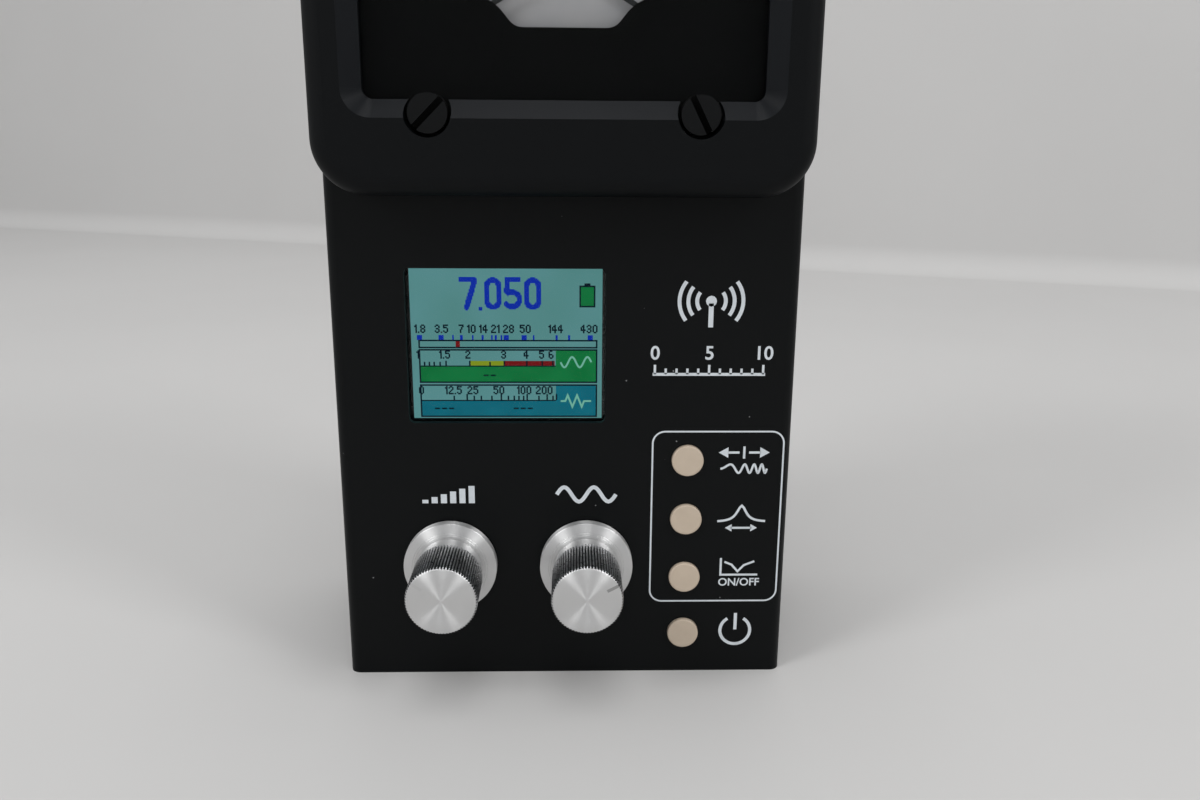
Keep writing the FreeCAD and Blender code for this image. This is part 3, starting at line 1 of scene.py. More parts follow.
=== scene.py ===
# %% [markdown]
# A handheld antenna analyzer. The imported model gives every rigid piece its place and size.
# This lesson adds the finishes, the prints, the picture on the display, the printed dial,
# finely knurled knobs and cross-recessed screws. Everything is in metres, in one frame:
# X to the user's right, Y to the back, Z up, with the origin under the case.

# %% Load the frame
import math

import bmesh
import bpy
from mathutils import Matrix, Vector


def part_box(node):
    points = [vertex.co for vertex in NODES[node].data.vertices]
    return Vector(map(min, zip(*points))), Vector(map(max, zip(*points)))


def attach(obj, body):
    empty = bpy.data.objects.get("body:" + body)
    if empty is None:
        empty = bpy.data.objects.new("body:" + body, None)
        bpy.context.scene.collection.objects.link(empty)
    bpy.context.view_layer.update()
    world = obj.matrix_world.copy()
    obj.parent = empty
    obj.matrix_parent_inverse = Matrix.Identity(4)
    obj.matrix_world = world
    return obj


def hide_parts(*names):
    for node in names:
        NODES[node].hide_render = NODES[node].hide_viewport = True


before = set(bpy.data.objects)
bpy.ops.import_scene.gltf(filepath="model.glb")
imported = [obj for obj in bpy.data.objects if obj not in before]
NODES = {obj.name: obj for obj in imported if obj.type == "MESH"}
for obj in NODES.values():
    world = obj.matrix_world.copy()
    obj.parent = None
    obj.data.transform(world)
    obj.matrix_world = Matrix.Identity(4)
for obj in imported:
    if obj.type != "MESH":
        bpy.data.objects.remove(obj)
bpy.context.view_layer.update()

MM = 0.001

# %% [markdown]
# The camera stands where the photographer's did. It could be moved by eye until the view
# looks right, but its place, tilt and focal length were solved from measured edges instead,
# so the proportions can be trusted and it needs no shift and no depth of field.

# %% Camera
PHOTO_WIDTH = 1200
FOCAL_PIXELS = 1022.76
PANEL_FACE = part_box("front_case")[0].y
CAMERA_PLACE = Vector((1.167 * MM, PANEL_FACE - 182.81 * MM, 104.12 * MM))
CAMERA_PITCH = math.radians(14.826)
CAMERA_YAW = math.radians(1.625)
CAMERA_ROLL = math.radians(-0.4225)


def camera_turn(pitch, yaw, roll):
    """The camera's rotation: looking along +Y, then down by pitch, right by yaw, and rolled."""
    forward = Vector((
        math.sin(yaw) * math.cos(pitch), math.cos(yaw) * math.cos(pitch), -math.sin(pitch)
    ))
    level = Vector((math.cos(yaw), -math.sin(yaw), 0))
    down = forward.cross(level)
    right = math.cos(roll) * level + math.sin(roll) * down
    down = -math.sin(roll) * level + math.cos(roll) * down
    return Matrix((right, -down, -forward)).transposed()


def placed(name, data):
    """An object at the origin that holds a mesh, curve, lamp or camera."""
    piece = bpy.data.objects.new(name, data)
    bpy.context.scene.collection.objects.link(piece)
    return piece


camera_data = bpy.data.cameras.new("camera")
camera_data.sensor_width = 36
camera_data.lens = 36 * FOCAL_PIXELS / PHOTO_WIDTH
camera_data.clip_start = 0.01
camera = placed("camera", camera_data)
camera.rotation_mode = "QUATERNION"
camera.location = CAMERA_PLACE
camera.rotation_quaternion = camera_turn(CAMERA_PITCH, CAMERA_YAW, CAMERA_ROLL).to_quaternion()
bpy.context.scene.camera = camera
print("lens: %.2f mm" % camera_data.lens)

# %% [markdown]
# Small helpers carry all the materials. One turns a hex colour, as a paint chart gives it,
# to the linear numbers that a shader wants. One adds a node with its settings and links. The
# rest give a finish what a flat colour lacks: grain, and patches of gloss and of colour. They
# read object coordinates, so a pattern has its real size and stays put when a piece moves.

# %% Colour, node and material helpers
def linear(hex_colour):
    """A hex sRGB colour as linear red, green, blue and alpha."""
    parts = [int(hex_colour[i:i + 2], 16) / 255 for i in (1, 3, 5)]
    return [c / 12.92 if c <= 0.04045 else ((c + 0.055) / 1.055) ** 2.4 for c in parts] + [1]


def add_node(tree, kind, settings=None, inputs=None):
    """A node with its settings. An input is a value, or a socket that it is linked to."""
    node = tree.nodes.new(kind)
    for name, value in (settings or {}).items():
        setattr(node, name, value)
    for name, value in (inputs or {}).items():
        if isinstance(value, bpy.types.NodeSocket):
            tree.links.new(value, node.inputs[name])
        else:
            node.inputs[name].default_value = value
    return node


def new_material(name, colour, roughness, **shader_inputs):
    """A material with a Principled shader, and its shader."""
    material = bpy.data.materials.new(name)
    material.use_nodes = True
    tree = material.node_tree
    tree.nodes.clear()
    inputs = {"Base Color": linear(colour), "Roughness": roughness}
    inputs.update(shader_inputs)
    shader = add_node(tree, "ShaderNodeBsdfPrincipled", None, inputs)
    add_node(tree, "ShaderNodeOutputMaterial", None, {"Surface": shader.outputs["BSDF"]})
    material.diffuse_color = linear(colour)
    return material, tree, shader


def patches(tree, size, detail=2.0):
    """How strong an uneven finish is at each place, in lumps about size metres across."""
    place = add_node(tree, "ShaderNodeTexCoord")
    noise = add_node(
        tree, "ShaderNodeTexNoise", None,
        {"Vector": place.outputs["Object"], "Scale": 1 / size, "Detail": detail},
    )
    return noise.outputs["Fac"]


def add_grain(tree, shader, size, height, detail=2.0):
    """A bump of lumps about size across and height tall, both in metres."""
    noise = patches(tree, size, detail)
    bump = add_node(
        tree, "ShaderNodeBump", None,
        {"Height": noise, "Distance": height, "Strength": 1.0},
    )
    tree.links.new(bump.outputs["Normal"], shader.inputs["Normal"])
    return bump


def vary_roughness(tree, shader, size, low, high):
    """Roughness that wanders between low and high in patches about size across."""
    noise = patches(tree, size, 4.0)
    spread = add_node(
        tree, "ShaderNodeMapRange", None,
        {"Value": noise, "From Min": 0.3, "From Max": 0.7,
         "To Min": low, "To Max": high},
    )
    tree.links.new(spread.outputs["Result"], shader.inputs["Roughness"])


def vary_colour(tree, shader, size, first, second):
    """Colour that wanders between two hex colours in patches about size across."""
    noise = patches(tree, size, 3.0)
    ramp = add_node(tree, "ShaderNodeValToRGB", None, {"Fac": noise})
    ramp.color_ramp.elements[0].position = 0.35
    ramp.color_ramp.elements[0].color = linear(first)
    ramp.color_ramp.elements[1].position = 0.65
    ramp.color_ramp.elements[1].color = linear(second)
    tree.links.new(ramp.outputs["Color"], shader.inputs["Base Color"])


def paint(material, *node_names):
    """Gives CAD nodes a material."""
    for name in node_names:
        slots = NODES[name].data.materials
        slots.clear()
        slots.append(material)


print("mid grey as linear: %.3f" % linear("#808080")[0])

# %% [markdown]
# The case is aluminium sheet with a satin black baked enamel. A sprayed film flows into a
# faint orange peel about a third of a millimetre across, which a bump from noise gives. A
# matt black also shows every speck of dust. Specks could be pieces of their own, but the
# centres of Voronoi cells give a few pale ones at no cost, thinned out by a coarse noise.

# %% Case enamel
ENAMEL_BLACK, DUST_GREY = "#07090a", "#8c8d8e"
SPECK_SPACING = 3.2 * MM
SPECK_SHARE = 0.040


def satin_enamel():
    """Baked enamel: dull, nearly black, with a faint orange peel and dust."""
    material, tree, shader = new_material(
        "satin_black_enamel", ENAMEL_BLACK, 0.42, **{"Specular IOR Level": 0.13}
    )
    vary_roughness(tree, shader, 14 * MM, 0.38, 0.46)
    add_grain(tree, shader, 0.35 * MM, 0.003 * MM, 3.0)
    place = add_node(tree, "ShaderNodeTexCoord")
    cells = add_node(
        tree, "ShaderNodeTexVoronoi", None,
        {"Vector": place.outputs["Object"], "Scale": 1 / SPECK_SPACING, "Randomness": 1.0},
    )
    speck = add_node(
        tree, "ShaderNodeMath", {"operation": "LESS_THAN"},
        {0: cells.outputs["Distance"], 1: SPECK_SHARE},
    )
    rare = patches(tree, 9 * MM, 1.0)
    here = add_node(
        tree, "ShaderNodeMath", {"operation": "GREATER_THAN"}, {0: rare, 1: 0.56}
    )
    both = add_node(
        tree, "ShaderNodeMath", {"operation": "MULTIPLY"},
        {0: speck.outputs["Value"], 1: here.outputs["Value"]},
    )
    # A Mix node has its two colours at inputs 6 and 7, and the mixed one at output 2.
    mix = add_node(
        tree, "ShaderNodeMix", {"data_type": "RGBA"},
        {"Factor": both.outputs["Value"], 6: linear(ENAMEL_BLACK), 7: linear(DUST_GREY)},
    )
    tree.links.new(mix.outputs[2], shader.inputs["Base Color"])
    return material


enamel = satin_enamel()
paint(enamel, "front_case", "back_cover")
print("case painted")

# %% [markdown]
# The meter's bezel is moulded ABS from a spark-eroded tool: black with a blue cast and a
# fine even grain that blurs reflections. The sloped band round the window was polished in
# the tool, so it is smoother, and its colour is painted a little paler as a sheen of light
# on the slope. It could be a slot of its own, but the packed mesh is never edited, so the
# shader finds the band by its place on the piece.

# %% Bezel plastic
bezel_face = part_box("meter_bezel")[0].y
WINDOW_HALF_WIDTH = 33.1 * MM
WINDOW_LOW = 108.65 * MM
WINDOW_HIGH = 171.0 * MM
BAND_WIDTH = 3.0 * MM
SKIN = 0.04 * MM
GRAINED_BLACK, BAND_SHEEN_BLACK = "#07090b", "#141619"


def inside_box(tree, centre, half_size):
    """1 inside a box given in object space, 0 outside it."""
    place = add_node(tree, "ShaderNodeTexCoord")
    offset = add_node(
        tree, "ShaderNodeVectorMath", {"operation": "SUBTRACT"},
        {0: place.outputs["Object"], 1: centre},
    )
    size = add_node(tree, "ShaderNodeVectorMath", {"operation": "ABSOLUTE"},
                    {0: offset.outputs["Vector"]})
    room = add_node(
        tree, "ShaderNodeVectorMath", {"operation": "SUBTRACT"},
        {0: half_size, 1: size.outputs["Vector"]},
    )
    axes = add_node(tree, "ShaderNodeSeparateXYZ", None, {"Vector": room.outputs["Vector"]})
    least = add_node(tree, "ShaderNodeMath", {"operation": "MINIMUM"},
                     {0: axes.outputs["X"], 1: axes.outputs["Y"]})
    least = add_node(tree, "ShaderNodeMath", {"operation": "MINIMUM"},
                     {0: least.outputs["Value"], 1: axes.outputs["Z"]})
    return add_node(tree, "ShaderNodeMath", {"operation": "GREATER_THAN"},
                    {0: least.outputs["Value"], 1: 0.0}).outputs["Value"]


def bezel_abs():
    """Grained black ABS, smoother on the band and painted paler there as a sheen of light."""
    material, tree, shader = new_material(
        "grained_black_abs", GRAINED_BLACK, 0.5, **{"Specular IOR Level": 0.12}
    )
    centre = Vector((0, bezel_face + BAND_WIDTH / 2 + SKIN, (WINDOW_LOW + WINDOW_HIGH) / 2))
    half = Vector((
        WINDOW_HALF_WIDTH + BAND_WIDTH + SKIN, BAND_WIDTH / 2,
        (WINDOW_HIGH - WINDOW_LOW) / 2 + BAND_WIDTH + SKIN,
    ))
    band = inside_box(tree, centre, half)
    # The band's paler colour is a painted sheen of light on its slope; its lower roughness is the
    # polish.
    mix = add_node(tree, "ShaderNodeMix", {"data_type": "RGBA"},
                   {"Factor": band, 6: linear(GRAINED_BLACK), 7: linear(BAND_SHEEN_BLACK)})
    tree.links.new(mix.outputs[2], shader.inputs["Base Color"])
    smooth = add_node(
        tree, "ShaderNodeMapRange", None, {"Value": band, "To Min": 0.50, "To Max": 0.36}
    )
    tree.links.new(smooth.outputs["Result"], shader.inputs["Roughness"])
    add_grain(tree, shader, 0.22 * MM, 0.008 * MM, 2.0)
    return material


paint(bezel_abs(), "meter_bezel")
print("bezel painted, band %.1f mm wide" % (BAND_WIDTH / MM))

# %% [markdown]
# Clear acrylic covers the meter and the display. A real pane bends light, which costs many
# bounces and shows nothing here, so light goes straight through and Fresnel mirrors a little.
# Behind the meter's pane lies a matt dial card. The zero adjusters are polished black
# polystyrene, glossy on the head and dull in the slot, which is painted darker as shade.

# %% Panes, dial card and adjusters
def clear_acrylic():
    """A thin pane: light goes straight through, and a little of it is mirrored."""
    material = bpy.data.materials.new("clear_acrylic")
    material.use_nodes = True
    tree = material.node_tree
    tree.nodes.clear()
    through = add_node(tree, "ShaderNodeBsdfTransparent", None, {"Color": linear("#fafcfc")})
    noise = patches(tree, 20 * MM)
    spread = add_node(tree, "ShaderNodeMapRange", None,
                      {"Value": noise, "To Min": 0.02, "To Max": 0.06})
    gloss = add_node(tree, "ShaderNodeBsdfGlossy", None,
                     {"Color": linear("#ffffff"), "Roughness": spread.outputs["Result"]})
    edge_on = add_node(tree, "ShaderNodeFresnel", None, {"IOR": 1.08})
    both = add_node(tree, "ShaderNodeMixShader", None, {0: edge_on.outputs["Fac"]})
    tree.links.new(through.outputs["BSDF"], both.inputs[1])
    tree.links.new(gloss.outputs["BSDF"], both.inputs[2])
    add_node(tree, "ShaderNodeOutputMaterial", None, {"Surface": both.outputs["Shader"]})
    material.diffuse_color = (0.9, 0.95, 0.95, 0.3)
    return material


def matt_print(name, colour, other):
    """Printed card or sheet: no gloss, a paper's grain and the faintest mottle."""
    material, tree, shader = new_material(name, colour, 0.7, **{"Specular IOR Level": 0.08})
    vary_colour(tree, shader, 8 * MM, colour, other)
    add_grain(tree, shader, 0.15 * MM, 0.0004 * MM)
    return material


ADJUSTER_SLOT_DEPTH = 0.45 * MM
ADJUSTER_BLACK, SLOT_SHADE_BLACK = "#0d0e0f", "#010101"


def polished_black():
    """Polished black, dull and painted darker as shade down in the slot, which is found by its
    depth.
    """
    material, tree, shader = new_material(
        "polished_black_styrene", ADJUSTER_BLACK, 0.26, **{"Specular IOR Level": 0.14}
    )
    place = add_node(tree, "ShaderNodeTexCoord")
    axes = add_node(tree, "ShaderNodeSeparateXYZ", None, {"Vector": place.outputs["Object"]})
    slot_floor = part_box("left_zero_adjuster")[0].y + ADJUSTER_SLOT_DEPTH
    deep = add_node(tree, "ShaderNodeMath", {"operation": "GREATER_THAN"},
                    {0: axes.outputs["Y"], 1: slot_floor})
    # The slot is painted darker here, as shade in the recess.
    slot_shade = add_node(tree, "ShaderNodeMix", {"data_type": "RGBA"},
                    {"Factor": deep.outputs["Value"], 6: linear(ADJUSTER_BLACK),
                     7: linear(SLOT_SHADE_BLACK)})
    tree.links.new(slot_shade.outputs[2], shader.inputs["Base Color"])
    dull = add_node(tree, "ShaderNodeMapRange", None,
                    {"Value": deep.outputs["Value"], "To Min": 0.26, "To Max": 0.95})
    tree.links.new(dull.outputs["Result"], shader.inputs["Roughness"])
    return material


paint(clear_acrylic(), "meter_window", "display_window")
# The white card's colour is painted grey as the shade that falls on it in the bezel's recess.
paint(matt_print("white_dial_card", "#b6b0b1", "#b0abad"), "meter_dial")
paint(polished_black(), "left_zero_adjuster", "right_zero_adjuster")
print("meter front painted")

# %% [markdown]
# Inside the case are ordinary metals and plastics. Poses and sections may show them, so each
# has its own colour, gloss and grain. Textures could be painted for each piece, but patches
# of two near colours and a fine bump, both at real sizes, suit them all.

# %% Metals of the inner pieces
def grained(name, colour, other, roughness, patch, grain, height, **shader_inputs):
    """A finish with patches of two colours and a fine bump, both at real sizes."""
    material, tree, shader = new_material(name, colour, roughness, **shader_inputs)
    vary_colour(tree, shader, patch, colour, other)
    add_grain(tree, shader, grain, height)
    return material


# Zinc plate is pale, a little yellow, and tumbled, so its gloss is broken up.
zinc = grained("zinc_plated_steel", "#b9b9b2", "#a9aaa6", 0.34, 1.2 * MM, 0.1 * MM,
               0.003 * MM, Metallic=1.0)
# Black oxide leaves steel dark with a soft oily shine.
black_oxide = grained("black_oxide_steel", "#232324", "#1c1c1d", 0.38, 1 * MM, 0.1 * MM,
                      0.004 * MM, Metallic=0.8)
# Brass turned on an automatic lathe is yellow and bright.
brass = grained("turned_brass", "#c9a45a", "#b8924a", 0.3, 1.5 * MM, 0.1 * MM,
                0.003 * MM, Metallic=1.0)
# Annealed soft iron is grey and dull, with a coarse skin.
soft_iron = grained("soft_iron", "#8a8a8c", "#7c7c80", 0.42, 3 * MM, 0.3 * MM,
                    0.01 * MM, Metallic=1.0)
# Enamelled copper wire is warm brown. Its turns, 0.12 mm apart, break the shine up.
copper_wire = grained("enamelled_copper_wire", "#a4582e", "#8c4622", 0.3, 0.6 * MM,
                      0.12 * MM, 0.03 * MM, Metallic=0.9)
# Flash gold on a contact is yellow and smooth.
gold = grained("gold_plated_contact", "#dcb262", "#d0a452", 0.22, 1 * MM, 0.1 * MM,
               0.002 * MM, Metallic=1.0)
# Tin plate is cold grey with a faint spangle.
tin_plate = grained("tin_plate", "#b4b6b6", "#a6a8aa", 0.3, 4 * MM, 0.4 * MM, 0.004 * MM,
                    Metallic=1.0)
paint(zinc, "meter_studs", "meter_nuts", "board_screws", "band_shaft", "frequency_shaft",
      "band_washer", "frequency_washer", "battery_contacts")
paint(black_oxide, "band_grub_screw", "frequency_grub_screw")
paint(brass, "board_spacers", "rf_board_posts")
paint(soft_iron, "left_movement_frame", "right_movement_frame", "left_magnet", "right_magnet")
paint(copper_wire, "left_coil", "right_coil")
paint(gold, "uhf_jack_contact", "n_jack_contact")
paint(tin_plate, "rf_shield")
print("inner metals painted")

# %% [markdown]
# The boards are glass-fibre laminate under green solder mask. The rest is moulded: black
# nylon where strength counts, white ABS round the display, white PTFE in the jacks, because
# it stands soldering. The cells wear a shrink film, and the needles a matt black paint.

# %% Boards and plastics of the inner pieces
# Solder mask is a glossy film. The weave under it, 0.4 mm apart, leaves it a little uneven.
board_green = grained("solder_mask_on_glass_fibre", "#14512a", "#185a30", 0.35,
                      5 * MM, 0.4 * MM, 0.01 * MM)
# Nylon moulded in an eroded tool is dull, with a fine even grain.
black_nylon = grained("black_moulded_nylon", "#141415", "#19191a", 0.5, 6 * MM, 0.25 * MM,
                      0.01 * MM)
# White ABS has a soft gloss.
white_abs = grained("white_moulded_abs", "#dcdcd6", "#d2d2cc", 0.4, 8 * MM, 0.2 * MM,
                    0.004 * MM)
# PTFE is waxy: light sinks in a millimetre and comes out soft.
ptfe = grained("white_ptfe", "#e4e3dc", "#dad9d2", 0.45, 3 * MM, 0.2 * MM, 0.004 * MM,
               **{"Subsurface Weight": 0.15, "Subsurface Radius": (MM, MM, MM)})
# Paint on a needle is matt, so that it shows no glare over the scale.
needle_paint = grained("matt_black_needle_paint", "#0d0d0e", "#121213", 0.55, 1 * MM,
                       0.1 * MM, 0.002 * MM)
# Shrink film is glossy, with slight waves where it was heated.
cell_jacket = grained("shrink_film_jacket", "#2f3640", "#262c36", 0.3, 8 * MM, 0.5 * MM,
                      0.01 * MM)
paint(board_green, "control_board", "rf_board")
paint(black_nylon, "meter_housing", "key_switches", "band_encoder", "frequency_encoder",
      "dc_jack", "battery_holder")
paint(white_abs, "display_frame")
paint(ptfe, "uhf_jack_insulator", "n_jack_insulator")
paint(needle_paint, "left_needle", "right_needle")
paint(cell_jacket, "battery_cells")
print("boards and plastics painted")

# %% [markdown]
# The jacks are brass under dull nickel. Their thread is a plain cylinder in the model. It
# could be cut as a helix, but at 24 turns to the inch it is only a texture, so the material
# cuts it: a saw-tooth bump along Z at the thread's pitch, which climbs once round the axis.
# Only the outside of the barrel gets it, found by its distance from the jack's axis.

# %% Nickel and threads
THREAD_PITCH = 25.4 / 24 * MM
THREAD_RADIUS = 15.875 / 2 * MM


def thread_height(tree, axis, low):
    """The height of a screw thread about a vertical axis, 0 inside the barrel and below low."""
    place = add_node(tree, "ShaderNodeTexCoord")
    offset = add_node(tree, "ShaderNodeVectorMath", {"operation": "SUBTRACT"},
                      {0: place.outputs["Object"], 1: axis})
    axes = add_node(tree, "ShaderNodeSeparateXYZ", None, {"Vector": offset.outputs["Vector"]})
    angle = add_node(tree, "ShaderNodeMath", {"operation": "ARCTAN2"},
                     {0: axes.outputs["Y"], 1: axes.outputs["X"]})
    lead = add_node(tree, "ShaderNodeMath", {"operation": "MULTIPLY"},
                    {0: angle.outputs["Value"], 1: THREAD_PITCH / (2 * math.pi)})
    along = add_node(tree, "ShaderNodeMath", {"operation": "ADD"},
                     {0: axes.outputs["Z"], 1: lead.outputs["Value"]})
    turns = add_node(tree, "ShaderNodeMath", {"operation": "PINGPONG"},
                     {0: along.outputs["Value"], 1: THREAD_PITCH / 2})
    flat = add_node(tree, "ShaderNodeVectorMath", {"operation": "MULTIPLY"},
                    {0: offset.outputs["Vector"], 1: (1, 1, 0)})
    radius = add_node(tree, "ShaderNodeVectorMath", {"operation": "LENGTH"},
                      {0: flat.outputs["Vector"]})
    outside = add_node(tree, "ShaderNodeMath", {"operation": "GREATER_THAN"},
                       {0: radius.outputs["Value"], 1: THREAD_RADIUS - 0.05 * MM})
    above = add_node(tree, "ShaderNodeMath", {"operation": "GREATER_THAN"},
                     {0: axes.outputs["Z"], 1: low})
    there = add_node(tree, "ShaderNodeMath", {"operation": "MULTIPLY"},
                     {0: outside.outputs["Value"], 1: above.outputs["Value"]})
    height = add_node(tree, "ShaderNodeMath", {"operation": "MULTIPLY"},
                      {0: turns.outputs["Value"], 1: there.outputs["Value"]})
    return height.outputs["Value"]


def nickel_plate(name, axis=None, thread_low=0.0):
    """Nickel. With an axis, the barrel above thread_low is threaded."""
    material, tree, shader = new_material(name, "#b3afa6", 0.28, Metallic=1.0)
    vary_roughness(tree, shader, 3 * MM, 0.22, 0.34)
    if axis is None:
        add_grain(tree, shader, 0.15 * MM, 0.003 * MM)
        return material
    bump = add_node(tree, "ShaderNodeBump", None,
                    {"Height": thread_height(tree, axis, thread_low), "Distance": 1.0,
                     "Strength": 1.0})
    tree.links.new(bump.outputs["Normal"], shader.inputs["Normal"])
    return material


def axis_of(node):
    """The vertical axis of a turned node, at height 0."""
    low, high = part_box(node)
    return Vector(((low.x + high.x) / 2, (low.y + high.y) / 2, 0))


JACK_FLANGE_TOP = 191.7 * MM
UHF_THREAD_START = JACK_FLANGE_TOP + 1.5 * MM
N_THREAD_START = JACK_FLANGE_TOP + 5.2 * MM
paint(nickel_plate("dull_nickel_first_jack", axis_of("uhf_jack_shell"), UHF_THREAD_START),
      "uhf_jack_shell")
paint(nickel_plate("dull_nickel_second_jack", axis_of("n_jack_shell"), N_THREAD_START),
      "n_jack_shell")
paint(nickel_plate("dull_nickel_nuts"), "dc_jack_nut", "band_nut", "frequency_nut")
print("jacks painted, thread pitch %.3f mm" % (THREAD_PITCH / MM))

# %% [markdown]
# The key caps are moulded in cream ABS and keep a soft gloss. A plain diffuse cream looks
# like card, so a trace of subsurface light softens their edges, as in the real plastic.

# %% Key caps
KEYS = ("sweep_button", "bandwidth_button", "graph_button", "power_button")
cream_abs = grained("cream_moulded_abs", "#c7b7a4", "#c2b29f", 0.42, 3 * MM, 0.2 * MM,
                    0.003 * MM, **{"Subsurface Weight": 0.05,
                                   "Subsurface Radius": (MM, 0.8 * MM, 0.6 * MM)})
paint(cream_abs, *KEYS)
print("keys painted:", len(KEYS))

# %% [markdown]
# The knobs are the brightest thing on the panel. They are turned from aluminium bar and
# anodised clear: a skirt with an upright rim and a shallow slope, a smooth neck, and a cap
# with 72 fine grooves that start as points at the neck. A Screw modifier could spin the
# profile but not cut the grooves, so code spins it, and the radius dips at every groove.

# %% Knob mesh
KNURL_GROOVES = 72
KNURL_STEPS = 8
KNURL_DEPTH = 0.30 * MM
KNURL_RUN_OUT = 1.2 * MM
KNURL_SHARPNESS = 2.6
SKIRT_RADIUS = 8.82 * MM
CAP_RADIUS = 6.45 * MM
NECK_RADIUS = 6.2 * MM
EDGE = 0.08 * MM


def knob_profile(back, face):
    """Radius, Y and groove depth, from the recess round to the cap's centre."""
    # Places along Y: the slope's inner end, the rim's front, the line round the neck's foot,
    # the neck's front, and the shoulder where the cap begins.
    slope = back - 2.4 * MM
    rim = slope + 0.55 * MM
    line = slope - 0.35 * MM
    neck = line - 3.0 * MM
    shoulder = neck - 0.25 * MM
    return [
        (5.8 * MM, back, 0), (SKIRT_RADIUS - EDGE, back, 0),
        (SKIRT_RADIUS, back - EDGE, 0), (SKIRT_RADIUS, rim + EDGE, 0),
        (SKIRT_RADIUS - EDGE, rim, 0), (7.2 * MM, slope + 0.11 * MM, 0),
        (7.12 * MM, slope + 0.15 * MM, 0), (7.05 * MM, slope + 0.08 * MM, 0),
        (6.8 * MM, slope + 0.02 * MM, 0), (6.72 * MM, slope + 0.07 * MM, 0),
        (6.64 * MM, slope, 0), (6.3 * MM, slope - 0.01 * MM, 0),
        (NECK_RADIUS - 0.35 * MM, slope - 0.02 * MM, 0),
        (NECK_RADIUS - 0.35 * MM, line + EDGE, 0),
        (NECK_RADIUS - EDGE, line, 0), (NECK_RADIUS, line - EDGE, 0),
        (NECK_RADIUS, neck, 0), (CAP_RADIUS, shoulder, 0),
        (CAP_RADIUS, shoulder - KNURL_RUN_OUT, KNURL_DEPTH),
        (CAP_RADIUS, (shoulder - KNURL_RUN_OUT + face) / 2, KNURL_DEPTH),
        (CAP_RADIUS, face + 0.45 * MM, KNURL_DEPTH),
        (CAP_RADIUS - 0.16 * MM, face + 0.24 * MM, KNURL_DEPTH / 3),
        (CAP_RADIUS - 0.34 * MM, face + 0.06 * MM, 0), (CAP_RADIUS - 0.46 * MM, face, 0),
        (CAP_RADIUS * 0.6, face, 0), (CAP_RADIUS * 0.25, face, 0), (0.06 * MM, face, 0),
    ]


def knob_mesh(name, centre_x, centre_z, back, face):
    """Spins the profile about the knob's axis. Grooved faces take the second slot."""
    mesh = bmesh.new()
    count = KNURL_GROOVES * KNURL_STEPS
    profile = knob_profile(back, face)
    rings = []
    for radius, y, depth in profile:
        ring = []
        for step in range(count):
            angle = 2 * math.pi * step / count
            phase = (step % KNURL_STEPS) / KNURL_STEPS
            reach = radius - max(0.0, 1 - abs(phase - 0.5) * KNURL_SHARPNESS) * depth
            ring.append(mesh.verts.new((
                centre_x + reach * math.cos(angle), y, centre_z + reach * math.sin(angle)
            )))
        rings.append(ring)
    for row, (inner, outer) in enumerate(zip(rings, rings[1:])):
        grooved = KNURL_DEPTH in (profile[row][2], profile[row + 1][2])
        for step in range(count):
            after = (step + 1) % count
            side = mesh.faces.new((inner[step], inner[after], outer[after], outer[step]))
            side.material_index = int(grooved)
    mesh.faces.new(rings[-1])
    mesh.faces.new(list(reversed(rings[0])))
    bmesh.ops.recalc_face_normals(mesh, faces=mesh.faces)
    return finished(mesh, name, smooth_angle=28)


def finished(mesh, name, smooth_angle=None):
    """Turns a bmesh to an object, smooth except at edges sharper than an angle."""
    data = bpy.data.meshes.new(name)
    mesh.to_mesh(data)
    mesh.free()
    piece = placed(name, data)
    if smooth_angle:
        data.shade_smooth()
        data.set_sharp_from_angle(angle=math.radians(smooth_angle))
    return piece


print("knob profile:", len(knob_profile(0, -16.5 * MM)), "rings")

# %% [markdown]
# The turning tool leaves rings too fine to see. Their flanks tip the light across them, so
# a turned face spreads a highlight outwards from its centre, as a fan. An anisotropic shader
# gives that fan where its tangent runs across the rings: outwards on a face, and along the
# axis on a side. The knurl's grooves, found by their radius, are painted dark as shade.

# %% Turned and knurled aluminium
TURNING_PITCH = 0.12 * MM
BRIGHT_ALUMINIUM, GROOVE_SHADE_GREY = "#e2e2e2", "#3c3c3c"


def from_axis(tree, centre):
    """The offset from a knob's centre, the part of it across the axis, and its length."""
    place = add_node(tree, "ShaderNodeTexCoord")
    offset = add_node(tree, "ShaderNodeVectorMath", {"operation": "SUBTRACT"},
                      {0: place.outputs["Object"], 1: centre})
    flat = add_node(tree, "ShaderNodeVectorMath", {"operation": "MULTIPLY"},
                    {0: offset.outputs["Vector"], 1: (1, 0, 1)})
    radius = add_node(tree, "ShaderNodeVectorMath", {"operation": "LENGTH"},
                      {0: flat.outputs["Vector"]})
    return offset.outputs["Vector"], flat.outputs["Vector"], radius.outputs["Value"]


